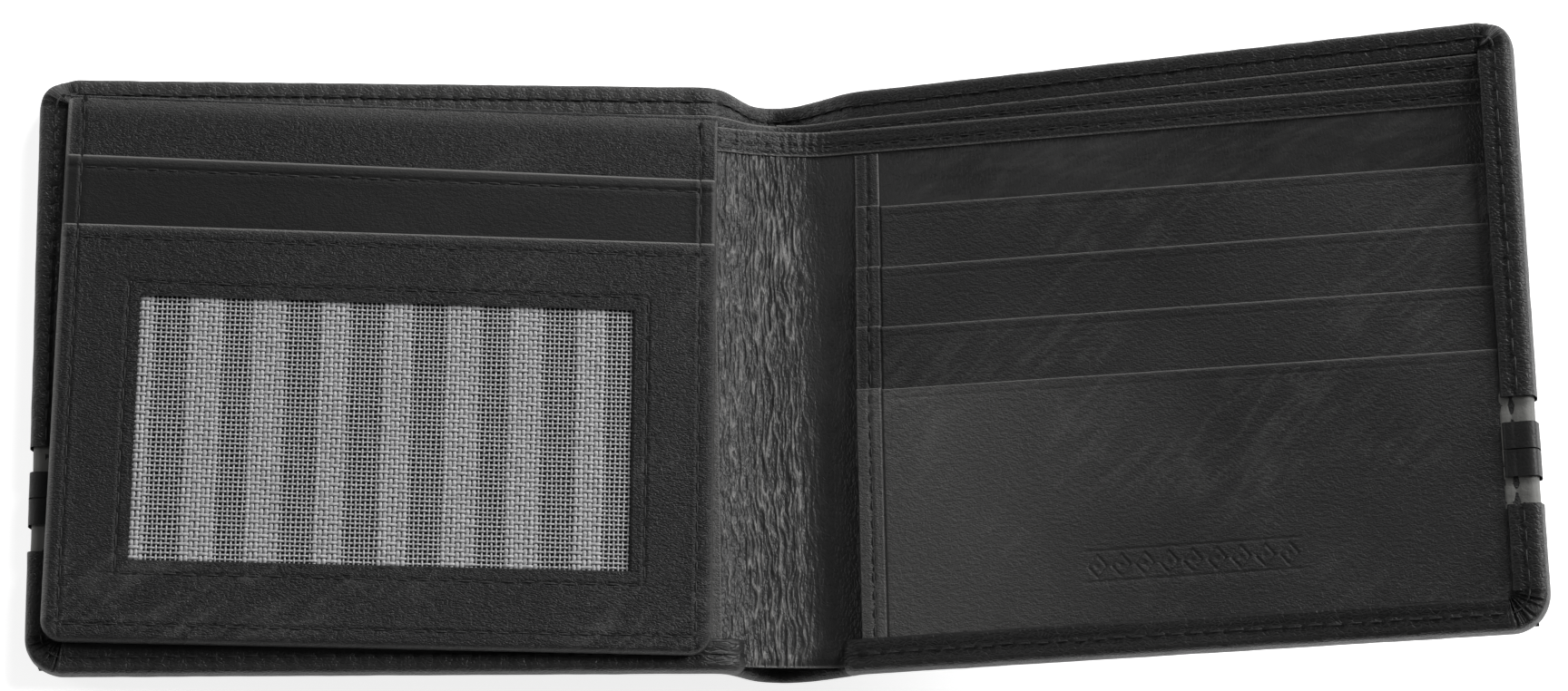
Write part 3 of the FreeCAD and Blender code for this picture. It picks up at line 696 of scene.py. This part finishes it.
def makeLeaf(side, number, ends, last):
    near = inside["leafNear"] if side == "right" else 0.5
    low = inside["leafLow"]
    far = inside["reach"] - 0.4
    cut = inside["cutLine"]
    margin = far - inside["leafMargin"]
    base = inside["leafLevel"] + inside["leafPitch"] * number
    high = ends[0] - low

    def placeLeaf(a, b, w):
        step = 0.25 * (1 - smooth(a, cut - 0.15, cut + 0.15)) * (side == "right")
        return onHalf(side, a, heightAt(ends, low, a, b) + step, base + w)

    def leafRelief(a, b):
        v = heightAt(ends, low, a, b)
        down = topAt(ends, a) - v
        lift = groove(a - cut, 0.28, 0.16) + sewn(a - inside["cutStitch"], v, inside["stitchPitch"], 0.2)
        upright = groove(a - margin, 0.07, 0.3) * smooth(down, 1.5, 2.0)
        span = smooth(a, cut + 0.5, cut + 1) * (1 - smooth(a, margin, margin + 0.4))
        rule = groove(down - 1.6, 0.07, 0.22) * span
        wave = 0.05 * ripple(a, v, 22, 61 + number)
        p, q = turned(a, v, 38)
        vein = 0.05 * creased(p, q, 15, 3.2, 71 + number, 3.0) * cloudy(a, v, 25, 25, 81)
        if last:
            p, q = turned(a, v, 52)
            patch = smooth(cloudy(a, v, 30, 22, 95), 0.3, 0.7)
            vein = vein + 0.05 * creased(p, q, 19, 3.4, 91, 4.0) * patch
            lift = lift + pressedOrnament(a, v) * (side == "right")
        card = 0.10 * smooth(down, 0, 3) * np.sin(np.clip(a / far, 0, 1) * math.pi)
        return lift + upright + rule + wave + vein - card

    def leafScuffAndSheen(a, b):
        v = heightAt(ends, low, a, b)
        p, q = turned(a, v, 40)
        patch = smooth(cloudy(a, v, 12, 9, 181), 0.25, 0.8)
        scuff = 0.15 * creased(p, q, 9, 1.5, 171 + number, 3.0) * patch
        # on the last leaf a painted sheen that fades from the left edge; on the other leaves a faint random
        # lighter tone
        sheenAndBlotches = 0.33 * (1 - smooth(a, 6, 58)) if last else 0.015 * cloudy(a, v, 20, 12, 183)
        return scuff + sheenAndBlotches

    fineA = [(cut, 0.7, 0.1), (inside["cutStitch"], 1.2, 0.25), (margin, 0.8, 0.25)]
    fineB = [(high - 1.2, 1.4, 0.2)]
    if last and side == "right":
        fineA.append((ornament["middle"][0], 17.5, 0.16))
        fineB.append((ornament["middle"][1] - low, 3.0, 0.16))
    piece = rolledSheet("%sLeaf%d" % (side, number + 1), placeLeaf, (near, far, 0, high), 0.01,
                        {"near", "high", "low"}, inside["leafThick"], 0.7, leafRelief,
                        (fineA, fineB), flip=side == "left", scuffAndHighlight=leafScuffAndSheen)
    dress(piece, "panel", ["%s_slot_leaf_%d" % (side, number + 1)], side + "_half")


def makeSlotStrip():
    # narrow strip that runs on above the slots to the binding
    near, cut, high = inside["leafNear"], inside["cutLine"], inside["stripTop"]
    low = inside["rightEdges"][0][0] - 2.0

    def stripRelief(a, b):
        return sewn(a - inside["cutStitch"], b, inside["stitchPitch"], 0.2) + 0.03 * ripple(a, b, 5, 13)

    piece = rolledSheet("rightSlotStrip", lambda a, b, w: onHalf("right", a, b, 2.55 + w),
                        (near + 0.05, cut - 0.1, low, high), 0.01, {"near", "far"}, 0.45, 0.5,
                        stripRelief, (((inside["cutStitch"], 0.8, 0.14),), ()))
    dress(piece, "panel", body="right_half")


for side in ("left", "right"):
    makeNoteLayers(side)
    makePanel(side)
makeSlotStrip()
for side in ("right", "left"):
    edges = inside[side + "Edges"]
    for number, ends in enumerate(edges):
        makeLeaf(side, number, ends, number == len(edges) - 1)
print("layers made")

flapLook = {
    "corner": (0.1, 83.7), "level": 5.35, "skew": 1.5,
    "wide": 96.6, "tall": 81.8, "lowRound": 3.3, "topRound": 0.9,
    "bodyThick": 1.1, "backThick": 0.55, "topSink": 0.62, "topSoft": 6.0,
    "pocketTop": (10.0, 9.3), "frameTop": 20.0, "pocketLow": 27.1,
    "leafThick": 0.5, "pocketLevel": 1.1, "frameLevel": 1.62,
    "window": (11.9, 84.6, 30.4, 70.1), "windowStitch": 1.75, "sideStitch": 2.5,
    "sidePitch": 3.0, "pocketStitch": 1.95, "frameStitch": 2.1, "stitchSink": 0.08,
    "foldBend": 0.38, "foldFlat": 7.0,
    "meshLevel": 1.34, "threadPitch": 0.71, "stripePeriod": 9.45, "stripeWide": 4.7, "stripeShift": 2.4,
}
flapTurn = math.radians(flapLook["skew"])


def onFlap(p, q, w):
    # p leftward from the edge beside the spine, q down from the top edge
    s, c = math.sin(flapTurn), math.cos(flapTurn)
    u = flapLook["corner"][0] + p * c + q * s
    v = flapLook["corner"][1] + p * s - q * c
    return onHalf("left", u, v, flapLook["level"] + w)


def makeFlap():
    far, low = flapLook["wide"], flapLook["tall"]
    edge = flapLook["sideStitch"]
    pitch = flapLook["sidePitch"]
    w0, w1, w2, w3 = flapLook["window"]
    corners = (flapLook["lowRound"], flapLook["topRound"])
    everySide = {"near", "far", "low", "high"}
    sides = [(edge, 0.9, 0.14), (far - edge, 0.9, 0.14)]

    def sideRows(p, q):
        return sewn(p - edge, q, pitch) + sewn(p - (far - edge), q, pitch)

    # body, its b axis counts upward from the lower edge
    def softTop(q):
        # how far the folded top of the flap sinks towards its edge
        return flapLook["topSink"] * np.clip(1 - q / flapLook["topSoft"], 0, 1) ** 2

    def placeBody(a, b, w):
        thick = flapLook["bodyThick"]
        return onFlap(a, low - b, w * (1 - softTop(low - b) / thick))

    def bodyRelief(a, b):
        q = low - b
        p2, q2 = turned(a, q, 38)
        crease = 0.05 * creased(p2, q2, 3.0, 14, 111, 3.0) * cloudy(a, q, 18, 9, 12)
        return sideRows(a, q) + crease + 0.04 * ripple(a, b, 15, 33)

    def flapScuff(a, q, seed):
        p2, q2 = turned(a, q, 36)
        line = creased(p2, q2, 10, 1.6, seed, 3.5)
        return 0.13 * line * smooth(cloudy(a, q, 15, 9, seed + 5), 0.4, 0.8)

    # painted highlight along the flap's right edge
    def rimHighlight(a):
        return 0.9 * smooth(a, far - 0.8, far - 0.35)

    def bodyHighlightAndScuff(a, b):
        q = low - b
        # painted highlight along the folded top edge, scuff lines, and the painted highlight along the right
        # edge
        return 0.28 * (1 - smooth(q, -0.6, 3.4)) + flapScuff(a, q, 201) + rimHighlight(a)

    piece = rolledSheet("flapBody", placeBody, (0, far, 0, low), corners, everySide,
                        flapLook["bodyThick"], 0.9, bodyRelief, (sides, [(low - 5, 6, 0.4)]), flip=True,
                        scuffAndHighlight=bodyHighlightAndScuff)
    dress(piece, "flap", ["flap_base"], "flap")

    def placeBack(a, b, w):
        return onFlap(a, low - b, flapLook["backThick"] - w)

    def backRelief(a, b):
        return 0.04 * ripple(a, b, 15, 35) + 0.6 * (sideRows(a, b) + sewn(b - edge, a, pitch))

    piece = rolledSheet("flapBack", placeBack, (0.15, far - 0.15, 0.15, low - 0.15), corners, everySide,
                        flapLook["backThick"], 0.9, backRelief, (sides, [(edge, 1, 0.3)]), flip=False)
    dress(piece, "cover", ["flap_back"], "flap")

    ends = flapLook["pocketTop"]
    lowEnd = flapLook["pocketLow"]
    pocketTall = lowEnd - ends[0]

    def pocketHeight(a, b):
        return lowEnd - b * (lowEnd - topAt(ends, a, far)) / pocketTall

    def placePocket(a, b, w):
        return onFlap(a, pocketHeight(a, b), flapLook["pocketLevel"] + w)

    def pocketRelief(a, b):
        q = pocketHeight(a, b)
        down = q - topAt(ends, a, far)
        return sideRows(a, q) + sewn(down - flapLook["pocketStitch"], a, pitch) + 0.04 * ripple(a, q, 15, 36)

    piece = rolledSheet("flapPocket", placePocket, (0.1, far - 0.1, 0, pocketTall), (0.5, 0.6),
                        {"near", "far", "high"}, flapLook["leafThick"], 0.7, pocketRelief,
                        (sides, [(pocketTall - flapLook["pocketStitch"], 0.9, 0.16)]), flip=True,
                        sideThick=1.5)
    dress(piece, "pocket", ["flap_pocket_leaf"], "flap")

    top = flapLook["frameTop"]
    height = low - top
    stitch = flapLook["windowStitch"]
    topRow = flapLook["frameStitch"]

    def placeFrame(a, b, w):
        return onFlap(a, low - b, flapLook["frameLevel"] + w)

    def windowDepth(a, b):
        q = low - b
        return np.minimum(np.minimum(a - w0, w1 - a), np.minimum(q - w2, w3 - q))

    def frameRelief(a, b):
        q = low - b
        s0, s1, s2, s3 = w0 - stitch, w1 + stitch, w2 - stitch, w3 + stitch
        inAcross = smooth(a, s0 - 0.2, s0 + 0.2) * (1 - smooth(a, s1 - 0.2, s1 + 0.2))
        inDown = smooth(q, s2 - 0.2, s2 + 0.2) * (1 - smooth(q, s3 - 0.2, s3 + 0.2))
        rows = sideRows(a, q) + sewn(b - edge, a, pitch) + sewn(q - top - topRow, a, pitch)
        rows = rows + (sewn(q - s2, a, pitch) + sewn(q - s3, a, pitch)) * inAcross
        rows = rows + (sewn(a - s0, q, pitch) + sewn(a - s1, q, pitch)) * inDown
        depth = np.clip(windowDepth(a, b) / 0.42, 0, 1)
        roll = flapLook["leafThick"] * (1 - np.sqrt(1 - depth ** 2 * 0.98))
        hollow = 0.12 * smooth(windowDepth(a, b), -4.5, -0.5)
        p2, q2 = turned(a, q, 35)
        grain = 0.03 * creased(p2, q2, 2.2, 9, 118, 2.0) * cloudy(a, q, 14, 14, 17)
        return rows - roll - hollow + grain + 0.05 * ripple(a, q, 17, 37)

    fineA = sides + [(k, 0.6, 0.1) for k in (w0, w1)] + [(k, 0.8, 0.14) for k in (w0 - stitch, w1 + stitch)]
    fineB = [(edge, 0.9, 0.14), (height - topRow, 0.9, 0.14)]
    fineB += [(low - k, 0.6, 0.1) for k in (w2, w3)]
    fineB += [(low - k, 0.8, 0.14) for k in (w2 - stitch, w3 + stitch)]
    piece = rolledSheet("flapFrame", placeFrame, (0.05, far - 0.05, 0, height), (flapLook["lowRound"], 0.5),
                        everySide, flapLook["leafThick"], 0.75, frameRelief, (fineA, fineB),
                        keep=lambda a, b: windowDepth(a, b) < 0.415, flip=True, sideThick=2.0,
                        scuffAndHighlight=lambda a, b: flapScuff(a, low - b, 221) + rimHighlight(a))
    dress(piece, "flap", ["flap_window_frame"], "flap")

    # fold of leather from the fixed pockets over the top edge of the flap
    bend, flat = flapLook["foldBend"], flapLook["foldFlat"]
    bent = flat + math.pi * bend
    at = np.linspace(0, bent + 1.0, 40)
    turn = np.clip((at - flat) / bend, 0, math.pi)
    q = np.where(at < flat, flat - at, -bend * np.sin(turn)) + np.maximum(at - bent, 0) + 0.25
    a, b = np.meshgrid(np.linspace(0.25, far - 0.25, 110), at, indexing="ij")
    w = bend - bend * np.cos(turn) - 0.22 + 0.03 * ripple(a, b, 9, 51)
    x, y, z = onFlap(a, q + 0 * a, w)
    piece = gridPiece("flapFold", a, b, x, y, z)
    dress(piece, "flap", ["flap_hinge_strip"])
    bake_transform(piece)
    print("flap made")


makeFlap()


def strand(place, a, b, w):
    # middle line of a thread and the way up from it
    centres = np.stack(place(a, b, w), axis=-1)
    return centres, np.stack(place(a, b, w + 1), axis=-1) - centres


def tubes(name, centres, normals, radii, flat):
    # centres: strands x samples x 3; a flattened tube along each strand
    tangent = np.gradient(centres, axis=1)
    tangent /= np.linalg.norm(tangent, axis=2, keepdims=True)
    sideways = np.cross(tangent, normals)
    sideways /= np.linalg.norm(sideways, axis=2, keepdims=True)
    upward = np.cross(sideways, tangent)
    turns = np.arange(6) / 6 * 2 * math.pi
    ring = (np.cos(turns)[None, None, :, None] * sideways[:, :, None, :]
            + np.sin(turns)[None, None, :, None] * upward[:, :, None, :] * flat)
    points = centres[:, :, None, :] + ring * radii[:, :, None, None]
    strands, samples = centres.shape[:2]
    index = np.arange(strands * samples * 6).reshape(strands, samples, 6)
    nxt = np.roll(index, -1, axis=2)
    faces = np.stack([index[:, :-1], index[:, 1:], nxt[:, 1:], nxt[:, :-1]], axis=-1).reshape(-1, 4)
    return addMesh(name, points.reshape(-1, 3), faces[:, ::-1])


def makeMesh():
    w0, w1, w2, w3 = flapLook["window"]
    pitch = flapLook["threadPitch"]
    margin = 0.8
    level = flapLook["meshLevel"]
    lift = 0.13
    ups = np.arange(w0 - margin, w1 + margin, pitch)
    downs = np.arange(w2 - margin, w3 + margin, pitch)
    light = ((w1 - ups + flapLook["stripeShift"]) % flapLook["stripePeriod"]) < flapLook["stripeWide"]
    i = np.arange(len(ups))[:, None]
    j = np.arange(len(downs))[None, :]
    over = np.where(light[:, None], (i + 2 * j) % 4 < 2, (i + j) % 2 == 0)
    # upright threads
    t = np.linspace(0, len(downs) - 1, (len(downs) - 1) * 3 + 1)
    height = np.stack([np.interp(t, np.arange(len(downs)), np.where(row, lift, -lift)) for row in over])
    q = w2 - margin + t * pitch
    p = ups[:, None] + 0.05 * np.sin(q[None, :] * 0.35 + ups[:, None] * 1.7) + 0 * height
    centres, normals = strand(onFlap, p, q[None, :] + 0 * height, level + height)
    wideAt = np.where(light, 0.29, 0.135)[:, None] * np.where(height > 0, 1.05, 0.85)
    upright = tubes("meshUpright", centres, normals, wideAt, 0.45)
    # level threads
    t = np.linspace(0, len(ups) - 1, (len(ups) - 1) * 3 + 1)
    height = np.stack([np.interp(t, np.arange(len(ups)), np.where(row, -lift, lift)) for row in over.T])
    p = w0 - margin + t * pitch
    wideAcross = np.interp(t, np.arange(len(ups)), np.where(light, 0.25, 0.155))[None, :] + 0 * height
    q = downs[:, None] + 0.05 * np.sin(p[None, :] * 0.3 + downs[:, None]) + 0 * height
    centres, normals = strand(onFlap, p[None, :] + 0 * height, q, level + height)
    across = tubes("meshAcross", centres, normals, wideAcross, 0.6)
    material, tree, shader = nodeTree("meshThread")
    grain = addNode(tree, "TexNoise", Scale=2600)
    link(tree, addNode(tree, "TexCoord"), "Object", grain, "Vector")
    tone = toneNode(tree, grain, 0.35, 0.65, (0.34, 0.34, 0.347), (0.57, 0.57, 0.577))
    link(tree, tone, "Color", shader, "Base Color")
    shader.inputs["Roughness"].default_value = 0.55
    for piece in (upright, across):
        piece.data.materials.append(material)
        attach(piece, "flap")
    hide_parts("flap_window_mesh")
    print("mesh made")


makeMesh()

stitchLook = {"radius": 0.16, "share": 0.84, "hole": 0.42}


def threadMaterial(name, colour, rough):
    material, tree, shader = nodeTree(name)
    twist = addNode(tree, "TexNoise", Scale=3500)
    link(tree, addNode(tree, "TexCoord"), "Object", twist, "Vector")
    bump = addNode(tree, "Bump", Distance=0.0001)
    link(tree, twist, "Fac", bump, "Height")
    link(tree, bump, "Normal", shader, "Normal")
    shader.inputs["Base Color"].default_value = colour + (1,)
    shader.inputs["Roughness"].default_value = rough
    return material


threadBlack = threadMaterial("threadBlack", (0.013, 0.013, 0.013), 0.6)
# near-black discs at the stitch holes: painted shade inside the holes
holeShade = threadMaterial("holeShade", (0.002, 0.002, 0.002), 0.9)


def sewRow(place, points, pitch, seed):
    # stitches along a run of (a, b, w) points, as tubes with a near-black disc of painted shade for the hole
    # at each end
    points = np.array(points, dtype=float)
    steps = np.linalg.norm(np.diff(points[:, :2], axis=0), axis=1)
    run = np.concatenate([[0], np.cumsum(steps)])
    count = max(1, int(round(run[-1] / pitch)))
    local = np.random.default_rng(seed)
    share = stitchLook["share"]
    t = np.linspace(0.5 - share / 2, 0.5 + share / 2, 7)
    station = (np.arange(count)[:, None] + t[None, :]) * run[-1] / count
    col = [np.interp(station, run, points[:, k]) for k in range(3)]
    wobble = local.normal(0, 0.05, (count, 1))
    arch = stitchLook["radius"] * (1.05 * np.sin((t - t[0]) / (t[-1] - t[0]) * math.pi)[None, :] - 0.62)
    a = col[0] + wobble
    b = col[1] + wobble + local.normal(0, 0.04, (count, 1))
    centres, normals = strand(place, a, b, col[2] + arch)
    profile = np.sqrt(np.clip(np.sin(np.linspace(0.12, math.pi - 0.12, 7)), 0, 1))
    radii = stitchLook["radius"] * profile[None, :] * local.uniform(0.85, 1.15, (count, 1))
    # a hole where two stitches meet
    ends = np.arange(count + 1) * run[-1] / count
    ends = ends + local.normal(0, 0.06, len(ends))
    ha, hb, hw = [np.interp(ends, run, points[:, k]) for k in range(3)]
    angle = np.arctan2(np.gradient(hb), np.gradient(ha)) + local.normal(0.25, 0.25, len(ends))
    return centres, normals, radii, (ha, hb, hw), (np.cos(angle), np.sin(angle))


def sewLines(name, place, rows, pitch, seed):
    parts = [sewRow(place, points, pitch, seed + number) for number, points in enumerate(rows)]
    centres, normals, radii = [np.concatenate([part[k] for part in parts]) for k in range(3)]
    thread = tubes(name + "Thread", centres, normals, radii, 0.8)
    thread.data.materials.append(threadBlack)
    holeA, holeB, holeW = [np.concatenate([part[3][k] for part in parts]) for k in range(3)]
    leanA, leanB = [np.concatenate([part[4][k] for part in parts])[:, None] for k in range(2)]
    turns = np.arange(8) / 8 * 2 * math.pi
    radius = stitchLook["hole"]
    longWay, shortWay = radius * 1.35 * np.cos(turns), radius * 0.75 * np.sin(turns)
    ringA = holeA[:, None] + longWay * leanA - shortWay * leanB
    ringB = holeB[:, None] + longWay * leanB + shortWay * leanA
    ring = np.stack(place(ringA, ringB, holeW[:, None] + 0 * ringA), axis=-1)
    middle = np.stack(place(holeA, holeB, holeW + 0.12), axis=-1)[:, None, :]
    points = np.concatenate([middle, ring], axis=1)
    base = np.arange(len(holeA))[:, None] * 9
    k = np.arange(8)[None, :]
    faces = np.stack([base + 0 * k, base + 1 + k, base + 1 + (k + 1) % 8], axis=-1).reshape(-1, 3)
    holes = addMesh(name + "HoleShade", points.reshape(-1, 3), faces)
    holes.data.materials.append(holeShade)
    return thread, holes


def arc(centre, radius, first, last, level):
    turns = np.radians(np.linspace(first, last, 9))
    return [(centre[0] + radius * math.cos(k), centre[1] + radius * math.sin(k), level) for k in turns]


def makeStitches():
    pitch = inside["stitchPitch"]
    for side in ("left", "right"):
        line = Crossing(side, 0.0, 0.0)
        stack = shellLook["stackTop"][side]
        fold = shellLook["topFold"]
        inset = shellLook["stitchInset"]
        edge = wide - inset
        radius = wallet["cornerRound"] - inset
        centreLow = (wide - wallet["cornerRound"], wallet["cornerRound"])
        centreHigh = (wide - wallet["cornerRound"], tall - wallet["cornerRound"])
        bands = shellLook["bands"]
        bottom = [(line.end + 0.3, inset, fold), (-1.7, inset, fold), (0.3, inset, stack),
                  (centreLow[0], inset, stack)] + arc(centreLow, radius, -90, 0, stack)
        bottom = bottom + [(edge, bands[0] - 0.4, stack)]
        topArc = [(a, b, stack + (fold - stack) * float(smooth(turn, 25, 75)))
                  for (a, b, _), turn in zip(arc(centreHigh, radius, 0, 90, stack), np.linspace(0, 90, 9))]
        upper = [(edge, bands[4] + 0.4, stack)] + topArc + [(line.end + 0.3, tall - inset, fold)]

        ends = inside["dividerTop"][side]
        dividerLine = Crossing(side, inside["dividerLevel"], inside["dividerMid"])
        across = np.linspace(dividerLine.end + 0.4, inside["reach"] - 3.5, 40)
        divider = [(k, float(topAt(ends, k)) - inside["dividerStitch"], inside["dividerThick"] - 0.06)
                   for k in across]
        bindLine = panelLine(side, inside["panelThick"] - 0.1)
        ends2 = inside["panelTop"][side]
        across = np.linspace(bindLine.end + 0.4, inside["reach"] - 3.0, 40)
        binding = [(k, float(topAt(ends2, k)) + 0.25 - inside["bindingStitch"], inside["bindingThick"] - 0.1)
                   for k in across]
        made = list(sewLines(side + "Hem", line.at, [bottom, upper], shellLook["stitchPitch"], 5))
        made += sewLines(side + "DividerRow", dividerLine.at, [divider], pitch, 6)
        made += sewLines(side + "BindingRow", bindLine.at, [binding], pitch, 7)
        for piece in made:
            bridge(piece)
        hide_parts(side + "_stitching")

    level = inside["leafLevel"] + inside["leafThick"] - 0.1
    at = inside["cutStitch"]
    marks = [4.2, 42.1, 51.8, 61.2, 70.9, 78.4]
    rows = []
    for step, low, high in zip((3, 2, 1, 0, -1), marks, marks[1:]):
        w = level + step * inside["leafPitch"]
        rows.append([(at, low + 0.15, w), (at, high - 0.15, w)])
    for piece in sewLines("rightCutRow", lambda a, b, w: onHalf("right", a, b, w), rows, pitch, 31):
        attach(piece, "right_half")

    far, low = flapLook["wide"], flapLook["tall"]
    edge = flapLook["sideStitch"]
    w0, w1, w2, w3 = flapLook["window"]
    out = flapLook["windowStitch"]
    sink = flapLook["stitchSink"]
    bodyTop = flapLook["bodyThick"] - sink
    pocketTop = flapLook["pocketLevel"] + flapLook["leafThick"] - sink
    frameTop = flapLook["frameLevel"] + flapLook["leafThick"] - sink
    p1, p2 = flapLook["pocketTop"]
    f1 = flapLook["frameTop"]
    rows = []
    for at, start, pocket in ((edge, 1.4, p1), (far - edge, 0.6, p2)):
        rows += [[(at, start, bodyTop), (at, pocket - 0.3, bodyTop)],
                 [(at, pocket + 0.3, pocketTop), (at, f1 - 0.2, pocketTop)],
                 [(at, f1 + 0.3, frameTop), (at, low - edge, frameTop)]]
    for at in (low - edge, f1 + flapLook["frameStitch"]):
        rows.append([(edge, at, frameTop), (far - edge, at, frameTop)])
    down = flapLook["pocketStitch"]
    rows.append([(edge, p1 + down, pocketTop), (far - edge, p2 + down, pocketTop)])
    s0, s1, s2, s3, w = w0 - out, w1 + out, w2 - out, w3 + out, frameTop - sink
    rows += [[(s0, at, w), (s1, at, w)] for at in (s2, s3)]
    rows += [[(at, s2, w), (at, s3, w)] for at in (s0, s1)]
    made = sewLines("flap", onFlap, rows, flapLook["sidePitch"], 41)
    for piece in made:
        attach(piece, "flap")
    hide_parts("flap_stitching")
    print("stitches made")


makeStitches()

studio = {
    "lens": 81.76,
    "place": (-105.4, -115.5, 523.4),
    "forward": (0.1958, 0.2241, -0.9547),
    "right": (0.9803, -0.0192, 0.1966),
    "floorSize": 3.0, "floorDrop": 0.0003,
    "lamps": {
        "softKey": ((0.95, 0.3, 0.8), 0.35, 11.2),
        "softBack": ((0.42, 0.97, 0.75), 0.4, 9.9),
        "softSide": ((-0.98, 0.24, 0.40), 0.3, 1.3),
    },
    "skyStrength": 0.09,
}


def makeStudio():
    scene = bpy.context.scene
    scene.view_settings.view_transform = "Standard"
    camera = bpy.data.cameras.new("viewCamera")
    camera.lens = studio["lens"]
    camera.sensor_width = 36
    camera.clip_start = 0.01
    viewer = bpy.data.objects.new("viewCamera", camera)
    forward = Vector(studio["forward"]).normalized()
    right = Vector(studio["right"])
    right = (right - forward * right.dot(forward)).normalized()
    upward = right.cross(forward)
    turn = Matrix((right, upward, -forward)).transposed()
    viewer.matrix_world = Matrix.Translation(Vector(studio["place"]) * mm) @ turn.to_4x4()
    scene.collection.objects.link(viewer)
    scene.camera = viewer

    size = studio["floorSize"]
    corners = [(x * size, y * size, -studio["floorDrop"]) for x, y in ((-1, -1), (1, -1), (1, 1), (-1, 1))]
    floor = addMesh("floor", np.array(corners) / mm, [(0, 1, 2, 3)])
    material, tree, shader = nodeTree("floorPaper")
    shader.inputs["Base Color"].default_value = (0.86, 0.86, 0.86, 1)
    shader.inputs["Roughness"].default_value = 0.9
    path = addNode(tree, "LightPath")
    seen = mathNode(tree, "MAXIMUM", (path, "Is Camera Ray"), (path, "Is Glossy Ray"))
    seen = mathNode(tree, "MAXIMUM", (seen, 0), (path, "Is Transmission Ray"))
    glow = mathNode(tree, "MULTIPLY", (seen, 0), 0.8)
    shader.inputs["Emission Color"].default_value = (1, 1, 1, 1)
    link(tree, glow, 0, shader, "Emission Strength")
    floor.data.materials.append(material)

    world = bpy.data.worlds.new("studioWorld")
    world.use_nodes = True
    sky = world.node_tree.nodes["Background"].inputs
    sky["Color"].default_value, sky["Strength"].default_value = (1, 1, 1, 1), studio["skyStrength"]
    scene.world = world

    for name, (place, width, power) in studio["lamps"].items():
        light = bpy.data.lights.new(name, "AREA")
        light.shape = "SQUARE"
        light.size = width
        light.energy = power
        lamp = bpy.data.objects.new(name, light)
        lamp.location = place
        lamp.rotation_euler = (-Vector(place)).to_track_quat("-Z", "Y").to_euler()
        scene.collection.objects.link(lamp)
    print("studio made")


makeStudio()
